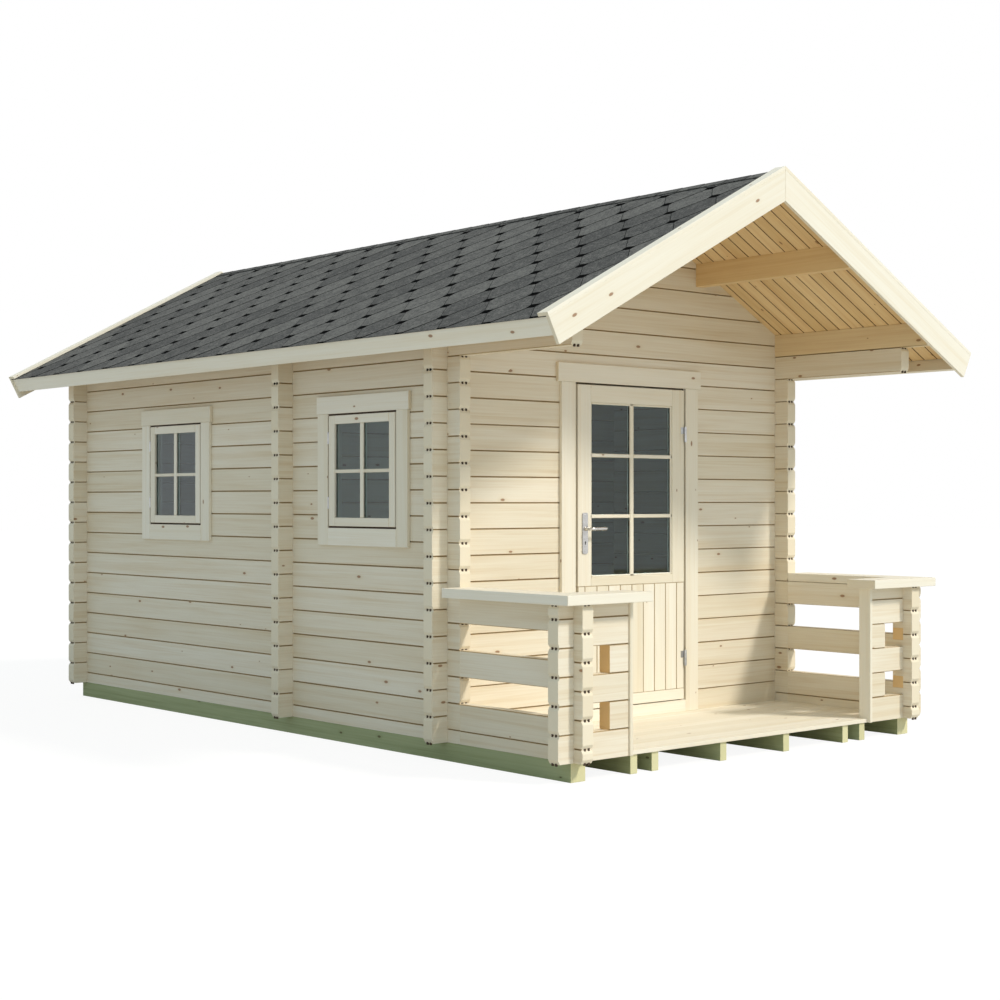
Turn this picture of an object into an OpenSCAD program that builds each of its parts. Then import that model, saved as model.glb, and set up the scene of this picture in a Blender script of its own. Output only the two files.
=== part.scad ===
// Garden sauna: a log cabin with two rooms behind a roofed porch.
// +Z is up and -Y is the porch side. The origin is on the ground, under the middle of the roof.
// Every size is in millimetres.

/* [Logs] */
// Height of one course of logs
log_h = 135; // [130:1:140]
// Thickness of a log
log_t = 70; // [60:1:80]
// How far log ends stand past a corner
log_end = 100; // [80:1:120]
// Height of the V joint between two courses
groove_h = 9; // [4:1:14]
// Depth of the V joint between two courses
groove_d = 6; // [3:1:10]
// How far the corners of a log end are cut back
end_cut = 12; // [6:1:16]
// How high the corners of a log end are cut
end_cut_h = 20; // [10:1:28]

/* [House] */
// Width over the side walls
house_w = 2632; // [2500:1:2800]
// Length over the front and rear walls
house_l = 3905; // [3700:1:4200]
// Front face of the front wall to the front face of the cross wall between the rooms
partition_at = 1384; // [1300:1:1450]
// Courses up to the head of the doorways
door_courses = 14; // [14:1:14]
// Width of the doorway in the wall between the rooms
inner_door_w = 700; // [600:10:800]

/* [Foundation] */
// Width and height of the outer beams
beam_w = 95; // [70:1:120]
// Height of the beams and joists
base_z = 95; // [70:1:120]
// Width of an inner joist
joist_w = 48; // [36:1:60]
// Thickness of the floor and deck boards
floor_t = 20; // [16:1:24]

/* [Porch] */
// Front wall to the front face of the porch returns
porch_d = 930; // [850:1:1000]
// Length of a porch return, inside the side rail
return_l = 295; // [260:1:330]
// Width of the opening in a return
return_gap = 166; // [140:1:180]
// How far the rail logs stand past a return
rail_end = 60; // [40:1:70]
// Courses in the porch rails
rail_courses = 5.5; // [5.5:1:5.5]
// Width of the cap boards
cap_w = 190; // [170:1:200]
// Thickness of the cap boards
cap_t = 48; // [36:1:50]
// How far the cap stands past a return's front face
cap_front = 86; // [70:1:95]
// Length of a return's cap board, to the outer corner
return_cap_l = 564; // [520:1:580]
// Thickness of the cover board on a return's end
cover_t = 20; // [16:1:24]
// Width of the cover board on a return's end
cover_w = 76; // [70:1:84]

/* [Roof] */
// Pitch of the roof in degrees
pitch = 27.6; // [26:0.1:29]
// Eave past the outer face of a side wall
eave_reach = 333; // [300:1:360]
// Roof past the front wall
front_reach = 1110; // [1080:1:1180]
// Roof past the rear wall
rear_reach = 420; // [380:1:500]
// Thickness of the roof boards
board_t = 24; // [20:1:28]
// Thickness of the shingle layer
shingle_t = 5; // [4:1:8]
// Thickness of the bargeboards and eave boards
barge_t = 20; // [18:1:24]
// Height of a bargeboard, square to the slope
barge_h = 141; // [120:1:160]
// Width of the lath that covers the roof's edge
lath_w = 70; // [60:1:80]
// Thickness of that lath
lath_t = 18; // [15:1:22]
// Height of an eave board, square to the slope
fascia_h = 95; // [80:1:100]
// Middle of the roof to the near face of a purlin
purlin_x = 544; // [500:1:600]
// Underside of the purlins, in courses
purlin_course = 18.25; // [18.25:1:18.25]
// Width of the ridge shingles on each slope
ridge_w = 62; // [55:1:150]

/* [Door] */
// Width of the door leaf
door_w = 838; // [800:1:860]
// Height of the door leaf
door_h = 1765; // [1740:1:1770]
// Thickness of the door leaf
door_t = 42; // [38:1:46]
// Underside of the door leaf above the logs' base
door_lift = 92; // [88:1:94]
// Width of the stiles and the top rail
door_stile = 97; // [80:1:110]
// Height of the glass
door_glass_h = 956; // [900:1:970]
// Width of the trim boards at the door
door_trim_w = 104; // [90:1:110]
// Height of the trim board over the door
door_header_h = 102; // [90:1:110]
// Turning clearance at the hinge side, head and foot
door_gap = 5; // [5:1:6]
// Clearance at the lock side
lock_gap = 8; // [7:1:9]
// Spindle of the lever above the logs' base
handle_z = 1073; // [1000:1:1100]
// Spindle to the door's edge
handle_in = 50; // [45:1:55]
// Length of the lever
lever_l = 122; // [100:1:130]

/* [Windows] */
// Width of a sash
sash_w = 600; // [560:1:620]
// Height of a sash
sash_h = 610; // [580:1:620]
// Thickness of a sash
sash_t = 45; // [40:1:50]
// Middle of the sashes above the logs' base
window_z = 1390; // [1370:1:1400]
// Front wall to the middle of the dressing room window
window_front_at = 709; // [690:1:730]
// Front wall to the middle of the hot room window
window_rear_at = 2655; // [2600:1:2700]
// Width of the trim boards at a window
window_trim_w = 98; // [80:1:105]
// Thickness of the outer trim boards
trim_t = 20; // [18:1:22]

/* [Hidden] */
$fn = 48;

spruce = [0.90, 0.82, 0.66];
treated = [0.47, 0.52, 0.36];
bitumen = [0.30, 0.30, 0.30];
pane = [0.62, 0.70, 0.72, 0.4];
steel = [0.78, 0.79, 0.80];

// Places along the building
y_roof_front = -(front_reach + house_l + rear_reach) / 2;
y_roof_rear = -y_roof_front;
y_front = y_roof_front + front_reach;
y_rear = y_front + house_l;
y_partition = y_front + partition_at;
y_return = y_front - porch_d;
cross_walls = [y_front, y_partition, y_rear - log_t];

// Places across the building
x_out = house_w / 2;
x_in = x_out - log_t;
x_end = x_out + log_end;
joist_offsets = [248, 748, 896];
beam_setback = 20;
beam_rear_gap = 12;
deck_reach = 10;
cover_reach = 10;

// Wall courses
side_courses = 15.5;
cross_courses = 16;
plate_courses = 16.5;
long_log_reach = 920;
log_courses = 24;
half = 0.5;
quarter = 0.25;

function course(n) = base_z + n * log_h;

// The roof. u runs down the slope from the ridge, w stands square on the slope, and 0, 0 is the
// top edge of the verge laths at the ridge.
roof_t = lath_t + shingle_t + board_t;
layer_gap = 0.1;
fascia_set = 12;
shingle_set = 2;
peak_z = course(plate_courses) + roof_t / cos(pitch) + x_in * tan(pitch);
slope_l = (x_out + eave_reach) / cos(pitch);
fascia_out = slope_l - fascia_set;
shingle_out = slope_l - shingle_set;
ridge_t = 5;

function on_slope(u, w) = [u * cos(pitch) + w * sin(pitch), peak_z - u * sin(pitch) + w * cos(pitch)];
function under_layer(x, w) = peak_z + w / cos(pitch) - abs(x) * tan(pitch);
function soffit(x) = under_layer(x, -roof_t);

// The doorway
door_x = door_w / 2;
door_bottom = base_z + door_lift;
door_top = door_bottom + door_h;
door_face = y_front - trim_t;
door_back = door_face + door_t;
frame_w = 40;
rough_x = door_x + frame_w;
jamb_left = -door_x - lock_gap;
jamb_right = door_x + door_gap;
stop_in = 12;
stop_y = door_back + door_gap;
sill_gap = 6;
sill_top = door_bottom - sill_gap;
trim_gap = 16;
trim_in = door_x + trim_gap;
header_over = 24;
header_at = 1868;
header_z = base_z + header_at;
door_glass_x = door_x - door_stile;
top_rail_h = 93;
door_glass_top = door_top - top_rail_h;
door_pane_t = 14;

// Hinges: a pin in a frame half below, and a knuckle on the leaf above
hinge_x = door_x + door_gap / 2;
hinge_off = 8.5;
hinge_y = door_face - hinge_off;
hinge_heights = [327, 1605];
knuckle_r = 7.5;
knuckle_l = 43.5;
pin_r = 3.5;
pin_fit = 0.05;
pin_l = 36;
barrel_gap = 0.5;
stem_from = 4;
stem_to = 12;
stem_low = 3;
stem_top = 4;
flap_w = 28;
flap_t = 3;
flap_inset = 3;

// Lever handle
handle_x = -door_x + handle_in;
plate_w = 42;
plate_h = 223;
plate_t = 6;
plate_at = 1049;
plate_z = base_z + plate_at - plate_h / 2;
lever_off = 45;
lever_r = 8;
neck_r = 9;
spindle_r = 5;

// Windows
window_gap = 4;
lining = 34;
glass_w = 490;
glass_h = 512;
window_pane_t = 16;
window_header_over = 10;
trim_reveal = 2;
stop_lap = 12;

// How far a cutter or a joined piece runs past a face
over = 1;

// ---- Helpers ----

// Children are drawn in x and z, and stand from y to y + t.
module upright_x(y, t)
    translate([0, y + t, 0]) rotate([90, 0, 0]) linear_extrude(t) children();

// Children are drawn in y and z, and stand from x to x + t.
module upright_y(x, t)
    translate([x, 0, 0]) rotate([90, 0, 90]) linear_extrude(t) children();

// A rectangle between two corners
module span(a, b)
    translate(a) square(b - a);

// A box between two corners
module block(a, b)
    translate(a) cube(b - a);

// Children are drawn for the right-hand side, and side -1 mirrors them to the left.
module to_side(side)
    mirror([side < 0 ? 1 : 0, 0, 0]) children();

// Section of a stack of logs: thickness and height, with a V joint at each course from first up
module log_section(first) {
    zs = [for (n = [first : 1 : log_courses - 1]) course(n)];
    top = course(log_courses);
    g = groove_h / 2;
    polygon(concat(
        [[0, base_z], [log_t, base_z]],
        [for (z = zs) each [[log_t, z - g], [log_t - groove_d, z], [log_t, z + g]]],
        [[log_t, top], [0, top]],
        [for (i = [len(zs) - 1 : -1 : 0]) each [[0, zs[i] + g], [groove_d, zs[i]], [0, zs[i] - g]]]
    ));
}

// The cut corners of one log end at p, from course n to n + h, facing dir (1 or -1)
module end_corners(p, dir, n, h = 1) {
    polygon([[p, course(n)], [p - dir * end_cut, course(n)], [p, course(n) + end_cut_h]]);
    polygon([[p, course(n + h)], [p - dir * end_cut, course(n + h)], [p, course(n + h) - end_cut_h]]);
}

// Everything under the roof boards, over a half width w
module under_roof(w)
    polygon([[-w, base_z], [w, base_z], [w, soffit(w)], [0, soffit(0)], [-w, soffit(w)]]);

// ---- Log walls across the building ----

// Elevation of a whole cross wall up to the roof
module cross_outline()
    difference() {
        under_roof(x_end);
        for (side = [-1, 1]) to_side(side) {
            for (n = [0 : 1 : cross_courses - 1]) {
                span([x_in, course(n - quarter)], [x_out, course(n + quarter)]);
                end_corners(x_end, 1, n);
            }
            span([x_in, course(cross_courses - quarter)], [x_out, course(cross_courses + 2)]);
            span([x_out, course(cross_courses)], [x_end + over, course(cross_courses + 2)]);
            span([purlin_x, course(purlin_course)], [purlin_x + log_t, course(purlin_course + 2)]);
        }
    }

// The logs of a cross wall whose front face is at y, cut to the children's elevation
module cross_logs(y)
    color(spruce) intersection() {
        upright_x(y, log_t) intersection() {
            cross_outline();
            children();
        }
        upright_y(-x_end - over, 2 * (x_end + over)) translate([y, 0]) log_section(1);
    }

// The part of a cross wall beside a doorway of half width x, on one side
module beside_doorway(side, x)
    to_side(side) span([x, base_z], [x_end, course(door_courses)]);

// The part of a cross wall over a doorway
module over_doorway()
    span([-x_end, course(door_courses)], [x_end, peak_z]);

module front_wall_left() cross_logs(y_front) beside_doorway(-1, rough_x);
module front_wall_right() cross_logs(y_front) beside_doorway(1, rough_x);
module front_wall_gable() cross_logs(y_front) over_doorway();
module partition_left() cross_logs(y_partition) beside_doorway(-1, inner_door_w / 2);
module partition_right() cross_logs(y_partition) beside_doorway(1, inner_door_w / 2);
module partition_gable() cross_logs(y_partition) over_doorway();
module rear_wall() cross_logs(y_rear - log_t) span([-x_end, base_z], [x_end, peak_z]);

// ---- Log walls along the building ----

// Where the logs of the cross walls pass through a side wall
module cross_log_notches(places)
    for (y = places)
        for (n = [0 : 1 : cross_courses - 1])
            span([y, course(n + quarter)], [y + log_t, course(n + half + quarter)]);

// Elevation of a side wall, with the long log that carries the porch roof
module side_outline()
    difference() {
        union() {
            span([y_front - log_end, base_z], [y_rear + log_end, course(side_courses)]);
            span([y_front - long_log_reach, course(side_courses - 1)],
                [y_front, course(side_courses)]);
        }
        cross_log_notches(cross_walls);
        end_corners(y_rear + log_end, 1, 0, half);
        for (n = [half : 1 : side_courses - 1]) end_corners(y_rear + log_end, 1, n);
        for (n = rail_gaps) end_corners(y_front - log_end, -1, n);
        for (n = [rail_courses : 1 : side_courses - 2]) end_corners(y_front - log_end, -1, n);
        end_corners(y_front - long_log_reach, -1, side_courses - 1);
    }

// The logs of the right-hand side wall, cut to the children's elevation
module side_logs(y_from, y_to)
    color(spruce) intersection() {
        upright_y(x_in, log_t) children();
        upright_x(y_from, y_to - y_from) translate([x_in, 0]) log_section(half);
    }

// The hole for a window in a side wall
module window_hole(at)
    span([y_front + at - sash_w / 2 - lining, base_z + window_z - sash_h / 2 - lining],
        [y_front + at + sash_w / 2 + lining, base_z + window_z + sash_h / 2 + lining]);

module left_wall()
    to_side(-1) side_logs(y_front - long_log_reach, y_rear + log_end) difference() {
        side_outline();
        window_hole(window_front_at);
        window_hole(window_rear_at);
    }

module right_wall()
    side_logs(y_front - long_log_reach, y_rear + log_end) side_outline();

// The top course of both side walls runs from bargeboard to bargeboard and is planed to the roof.
module top_logs()
    color(spruce) for (side = [-1, 1]) to_side(side) intersection() {
        upright_y(x_in, log_t) difference() {
            span([y_roof_front + barge_t, course(side_courses)],
                [y_roof_rear - barge_t, course(side_courses + 2)]);
            cross_log_notches(cross_walls);
        }
        upright_x(y_roof_front, y_roof_rear - y_roof_front) intersection() {
            translate([x_in, 0]) log_section(half);
            under_roof(x_out);
        }
    }

// ---- Porch ----

// Courses that the side rails leave open
rail_gaps = [1.5, 3.5];
// Courses that have an opening in the returns
return_gaps = [1, 3];
x_return = x_in - return_l;
x_cap_out = x_in + cap_w;
y_cap_front = y_return - cap_front;

module porch_rail(side)
    to_side(side) side_logs(y_return - rail_end, y_front - log_end) difference() {
        span([y_return - rail_end, base_z], [y_front - log_end, course(rail_courses)]);
        for (n = rail_gaps)
            span([y_return + log_t, course(n)], [y_front - log_end + over, course(n + 1)]);
        cross_log_notches([y_return]);
        end_corners(y_return - rail_end, -1, 0, half);
        for (n = [half : 1 : rail_courses - 1]) end_corners(y_return - rail_end, -1, n);
    }

module porch_return(side)
    color(spruce) to_side(side) intersection() {
        upright_x(y_return, log_t) difference() {
            span([x_return, base_z], [x_end, course(rail_courses)]);
            for (n = return_gaps) span([x_in - return_gap, course(n)], [x_in, course(n + 1)]);
            for (n = [0 : 1 : rail_courses])
                span([x_in, course(n - quarter)], [x_out, course(n + quarter)]);
            for (n = [0 : 1 : rail_courses - 1]) end_corners(x_end, 1, n);
            end_corners(x_end, 1, rail_courses - half, half);
        }
        upright_y(x_return, x_end - x_return) translate([y_return, 0]) log_section(1);
    }

module porch_rail_left() porch_rail(-1);
module porch_rail_right() porch_rail(1);
module porch_return_left() porch_return(-1);
module porch_return_right() porch_return(1);

// Cap boards on the side rails, mitred to the caps of the returns
module side_rail_caps()
    color(spruce) for (side = [-1, 1]) to_side(side)
        translate([0, 0, course(rail_courses)]) linear_extrude(cap_t)
            polygon([[x_cap_out, y_cap_front], [x_cap_out, y_front - log_end],
                [x_in, y_front - log_end], [x_in, y_cap_front + cap_w]]);

module return_caps()
    color(spruce) for (side = [-1, 1]) to_side(side)
        translate([0, 0, course(rail_courses)]) linear_extrude(cap_t)
            polygon([[x_cap_out - return_cap_l, y_cap_front], [x_cap_out, y_cap_front],
                [x_in, y_cap_front + cap_w], [x_cap_out - return_cap_l, y_cap_front + cap_w]]);

// Upright boards that close the cut ends of the returns
module return_covers()
    color(spruce) for (side = [-1, 1]) to_side(side)
        block([x_return - cover_t, y_return - cover_reach, base_z],
            [x_return, y_return - cover_reach + cover_w, course(rail_courses)]);

// ---- Foundation and floors ----

module foundation_beams()
    color(treated) for (side = [-1, 1]) to_side(side) {
        block([x_out - beam_w, y_return + beam_setback, 0], [x_out, y_rear - beam_rear_gap, base_z]);
        for (x = joist_offsets)
            block([x - joist_w / 2, y_return + beam_setback, 0],
                [x + joist_w / 2, y_rear - beam_rear_gap, base_z]);
    }

module porch_deck()
    color(spruce) translate([0, 0, base_z]) linear_extrude(floor_t) {
        span([-x_in, y_return + log_t], [x_in, y_front]);
        span([cover_t - x_return, y_return + deck_reach], [x_return - cover_t, y_return + log_t]);
    }

module room_floor()
    color(spruce) {
        block([-x_in, y_front + log_t, base_z], [x_in, y_partition, base_z + floor_t]);
        block([-x_in, y_partition + log_t, base_z], [x_in, y_rear - log_t, base_z + floor_t]);
    }

// ---- Roof ----

// A layer of the right-hand slope between heights top and bottom over the slope, from the ridge
// down to u, and along the building from y1 to y2
module slope_layer(top, bottom, u, y1, y2)
    upright_x(y1, y2 - y1)
        polygon([[0, under_layer(0, top)], on_slope(u, top), on_slope(u, bottom),
            [0, under_layer(0, bottom)]]);

module roof_boards(side)
    color(spruce) to_side(side)
        slope_layer(-lath_t - shingle_t, -roof_t, fascia_out - barge_t,
            y_roof_front + barge_t, y_roof_rear - barge_t);

module roofing(side)
    color(bitumen) to_side(side)
        slope_layer(-lath_t - layer_gap, -lath_t - shingle_t, shingle_out,
            y_roof_front + barge_t, y_roof_rear - barge_t);

module roof_boards_left() roof_boards(-1);
module roof_boards_right() roof_boards(1);
module roofing_left() roofing(-1);
module roofing_right() roofing(1);

// Bent shingles over the ridge, between the verge laths
module ridge_shingles()
    color(bitumen) union() for (side = [-1, 1]) to_side(side)
        slope_layer(ridge_t - lath_t, -lath_t, ridge_w,
            y_roof_front + lath_w, y_roof_rear - lath_w);

// Purlins carry the roof boards half way down each slope.
module purlins()
    color(spruce) for (side = [-1, 1]) to_side(side)
        upright_x(y_roof_front + barge_t, y_roof_rear - y_roof_front - 2 * barge_t)
            polygon([[purlin_x, course(purlin_course)], [purlin_x + log_t, course(purlin_course)],
                [purlin_x + log_t, soffit(purlin_x + log_t) - layer_gap],
                [purlin_x, soffit(purlin_x) - layer_gap]]);

module eave_boards()
    color(spruce) for (side = [-1, 1]) to_side(side)
        upright_x(y_roof_front + barge_t, y_roof_rear - y_roof_front - 2 * barge_t)
            polygon([on_slope(fascia_out - barge_t, -lath_t - shingle_t),
                on_slope(fascia_out, -lath_t - shingle_t),
                on_slope(fascia_out, -lath_t - shingle_t - fascia_h),
                on_slope(fascia_out - barge_t, -lath_t - shingle_t - fascia_h)]);

// The front and rear bargeboards of one slope
module bargeboards(side)
    color(spruce) to_side(side) for (y = [y_roof_front, y_roof_rear - barge_t])
        slope_layer(-lath_t, -lath_t - barge_h, slope_l, y, y + barge_t);

// Laths over the bargeboards and the shingles' edges on one slope
module verge_laths(side)
    color(spruce) to_side(side) for (y = [y_roof_front, y_roof_rear - lath_w])
        slope_layer(0, -lath_t, slope_l, y, y + lath_w);

module bargeboards_left() bargeboards(-1);
module bargeboards_right() bargeboards(1);
module verge_laths_left() verge_laths(-1);
module verge_laths_right() verge_laths(1);

// ---- Windows, in the left-hand wall ----

// A ring in y and z around the middle of a window
module window_ring(w_out, h_out, w_in, h_in)
    difference() {
        square([w_out, h_out], center = true);
        square([w_in, h_in], center = true);
    }

// Places children at a window's middle, drawn for the right-hand side, and turns them to the left
module at_window(at)
    to_side(-1) translate([0, y_front + at, base_z + window_z]) children();

// The lining in the wall, with a stop behind the sash, and the trim boards outside
module window_frame(at)
    color(spruce) at_window(at) {
        w_rough = sash_w + 2 * lining;
        h_rough = sash_h + 2 * lining;
        stop_x = x_out + trim_t - sash_t;
        w_trim = sash_w + 2 * (window_gap + trim_reveal);
        h_trim = sash_h + 2 * (window_gap + trim_reveal);
        upright_y(stop_x, x_out - stop_x)
            window_ring(w_rough, h_rough, sash_w + 2 * window_gap, sash_h + 2 * window_gap);
        upright_y(x_in, stop_x - x_in)
            window_ring(w_rough, h_rough, sash_w - 2 * stop_lap, sash_h - 2 * stop_lap);
        upright_y(x_out, trim_t) {
            window_ring(w_trim + 2 * window_trim_w, h_trim + 2 * window_trim_w, w_trim, h_trim);
            for (side = [-1, 1])
                translate([side * (w_trim / 2 + window_trim_w + window_header_over / 2 - over),
                    h_trim / 2 + window_trim_w / 2])
                    square([window_header_over + 2 * over, window_trim_w], center = true);
        }
    }

module window_sash(at)
    color(spruce) at_window(at)
        upright_y(x_out + trim_t - sash_t, sash_t) window_ring(sash_w, sash_h, glass_w, glass_h);

module window_glass(at)
    color(pane) at_window(at)
        upright_y(x_out + trim_t - sash_t / 2 - window_pane_t / 2, window_pane_t)
            square([glass_w, glass_h], center = true);

module dressing_window_frame() window_frame(window_front_at);
module dressing_window_sash() window_sash(window_front_at);
module dressing_window_glass() window_glass(window_front_at);
module hot_room_window_frame() window_frame(window_rear_at);
module hot_room_window_sash() window_sash(window_rear_at);
module hot_room_window_glass() window_glass(window_rear_at);

// ---- Front door ----

// Jambs, head and sill, with a stop behind the leaf
module door_frame()
    color(spruce) {
        upright_x(y_front, stop_y - y_front) difference() {
            span([-rough_x, base_z], [rough_x, course(door_courses)]);
            span([jamb_left, sill_top], [jamb_right, door_top + door_gap]);
        }
        upright_x(stop_y, y_front + log_t - stop_y) difference() {
            span([-rough_x, base_z], [rough_x, course(door_courses)]);
            span([jamb_left + stop_in, door_bottom + stop_in],
                [jamb_right - stop_in, door_top + door_gap - stop_in]);
        }
        block([-trim_in, y_front - trim_t, base_z + floor_t], [trim_in, y_front, sill_top]);
    }

// Two upright boards and the board over them, fixed to the wall and the frame
module door_trim()
    color(spruce) {
        trim_out = trim_in + door_trim_w;
        for (x = [-trim_out, trim_in])
            block([x, door_face, base_z + floor_t], [x + door_trim_w, y_front, header_z]);
        block([-trim_out - header_over, door_face, header_z],
            [trim_out + header_over, y_front, header_z + door_header_h]);
    }

module door_leaf()
    color(spruce) difference() {
        block([-door_x, door_face, door_bottom], [door_x, door_back, door_top]);
        block([-door_glass_x, door_face - over, door_glass_top - door_glass_h],
            [door_glass_x, door_back + over, door_glass_top]);
        translate([handle_x, door_face - over, base_z + handle_z]) rotate([-90, 0, 0])
            cylinder(h = door_t + 2 * over, r = neck_r);
    }

module door_glass()
    color(pane) translate([0, door_face + door_t / 2 - door_pane_t / 2, 0])
        upright_x(0, door_pane_t)
            span([-door_glass_x, door_glass_top - door_glass_h], [door_glass_x, door_glass_top]);

// Frame halves of the two hinges: a barrel with an upright pin, on a stem from the jamb
module hinge_pins()
    color(steel) for (z = hinge_heights) translate([hinge_x, hinge_y, base_z + z]) {
        translate([0, 0, -knuckle_l - barrel_gap]) cylinder(h = knuckle_l, r = knuckle_r);
        translate([0, 0, -over]) cylinder(h = pin_l + over, r = pin_r);
        block([stem_from, 0, -knuckle_l + stem_low], [stem_to, y_front - hinge_y, -stem_top]);
    }

// Leaf halves of the two hinges: a barrel over the pin, and a plate on the door
module hinge_knuckles()
    color(steel) for (z = hinge_heights) translate([hinge_x, hinge_y, base_z + z]) difference() {
        union() {
            translate([0, 0, barrel_gap]) cylinder(h = knuckle_l, r = knuckle_r);
            block([-flap_w, door_face - hinge_y - flap_t, flap_inset],
                [-over, door_face - hinge_y, knuckle_l - flap_inset]);
        }
        translate([0, 0, -over]) cylinder(h = pin_l + 3 * over, r = pin_r + pin_fit);
    }

// Long plates on both faces of the door, with a hole for the spindle
module handle_plates()
    color(steel) for (y = [door_face - plate_t, door_back])
        difference() {
            block([handle_x - plate_w / 2, y, plate_z],
                [handle_x + plate_w / 2, y + plate_t, plate_z + plate_h]);
            translate([handle_x, y - over, base_z + handle_z]) rotate([-90, 0, 0])
                cylinder(h = plate_t + 2 * over, r = neck_r);
        }

// Levers on both faces, on one spindle through the door
module door_handle() {
    y_out = door_face - plate_t - lever_off;
    y_in = door_back + plate_t + lever_off;
    color(steel) translate([handle_x, 0, base_z + handle_z]) {
        translate([0, y_out, 0]) rotate([-90, 0, 0]) cylinder(h = y_in - y_out, r = spindle_r);
        for (y = [y_out, y_in]) translate([0, y, 0]) {
            rotate([0, 90, 0]) cylinder(h = lever_l, r = lever_r);
            sphere(r = lever_r);
            translate([lever_l, 0, 0]) sphere(r = lever_r);
        }
    }
}

foundation_beams();
porch_deck();
room_floor();
front_wall_left();
front_wall_right();
front_wall_gable();
left_wall();
right_wall();
rear_wall();
partition_left();
partition_right();
partition_gable();
top_logs();
porch_rail_left();
porch_rail_right();
porch_return_left();
porch_return_right();
side_rail_caps();
return_caps();
return_covers();
purlins();
roof_boards_left();
roof_boards_right();
roofing_left();
roofing_right();
ridge_shingles();
eave_boards();
bargeboards_left();
bargeboards_right();
verge_laths_left();
verge_laths_right();
dressing_window_frame();
dressing_window_sash();
dressing_window_glass();
hot_room_window_frame();
hot_room_window_sash();
hot_room_window_glass();
door_frame();
door_trim();
hinge_pins();
door_leaf();
door_glass();
hinge_knuckles();
handle_plates();
door_handle();
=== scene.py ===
"""Looks of a garden sauna: a log cabin with a roofed porch, dressed around its fixed frame."""

import logging
import math
import random
from dataclasses import dataclass, field
from enum import Enum, IntEnum
from typing import Callable, ClassVar, Optional, Sequence, Union

import bmesh
import bpy
from mathutils import Matrix, Vector


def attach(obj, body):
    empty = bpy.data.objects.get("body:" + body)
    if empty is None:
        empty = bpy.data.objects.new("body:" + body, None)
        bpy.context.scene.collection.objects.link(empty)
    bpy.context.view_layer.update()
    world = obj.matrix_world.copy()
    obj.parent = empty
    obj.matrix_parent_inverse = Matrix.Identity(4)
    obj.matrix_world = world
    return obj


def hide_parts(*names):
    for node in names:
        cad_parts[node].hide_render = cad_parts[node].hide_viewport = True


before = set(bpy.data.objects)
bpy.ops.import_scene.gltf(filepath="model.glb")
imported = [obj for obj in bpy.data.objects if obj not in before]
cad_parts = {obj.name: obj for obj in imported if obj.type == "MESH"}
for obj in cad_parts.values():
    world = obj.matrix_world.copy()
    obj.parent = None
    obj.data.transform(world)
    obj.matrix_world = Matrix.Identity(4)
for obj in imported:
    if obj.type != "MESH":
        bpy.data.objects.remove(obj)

LOG = logging.getLogger("sauna")
Colour = tuple[float, float, float]
Point = tuple[float, float, float]
Fade = tuple[float, float, float, float]
Input = Union[bpy.types.NodeSocket, float, Sequence[float]]
Made = list[bpy.types.Object]


class Axis(Enum):
    """The way the fibres of a timber run, with the two axes across them."""

    X = ((1, 0, 0), (0, 0, 1), (0, 1, 0))
    Y = ((0, 1, 0), (0, 0, 1), (1, 0, 0))
    Z = ((0, 0, 1), (1, 0, 0), (0, 1, 0))
    FLAT_X = ((1, 0, 0), (0, 1, 0), (0, 0, 1))
    FLAT_Y = ((0, 1, 0), (1, 0, 0), (0, 0, 1))

    def basis(self) -> Matrix:
        """Rows are the direction along the fibres, across the face and through the piece."""
        return Matrix(self.value)


class Side(Enum):
    """The left and right halves of the building, seen from the porch side."""

    LEFT = -1
    RIGHT = 1

    def word(self) -> str:
        """The side's name, as it stands in the names of nodes."""
        return self.name.lower()


class Part(IntEnum):
    """Names for the places in each list of finishes; the first leaves a face to its fibres."""

    BY_FIBRES = 0
    EDGE = 1
    JOINT = 2
    CUT = 3
    GAP = 4
    PLATE = 1
    HOLE = 2
    # Thin dark strips in the gaps round the door leaf and the sash: painted shade.
    SEAL = 3


class Body(Enum):
    """The bodies that the pieces ride on."""

    HOUSE = "house"
    DOOR = "door"
    LEVER = "lever"


def linear(red: int, green: int, blue: int) -> Colour:
    """Turns a colour picked on a 0 to 255 screen scale into the shader's linear scale.

    Args:
        red: red part, 0 to 255.
        green: green part, 0 to 255.
        blue: blue part, 0 to 255.

    Returns:
        The three linear parts, 0 to 1.
    """
    parts = [part / 255 for part in (red, green, blue)]
    return tuple(p / 12.92 if p <= 0.04045 else ((p + 0.055) / 1.055) ** 2.4 for p in parts)


# ---------------------------------------------------------------- finishes


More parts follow.
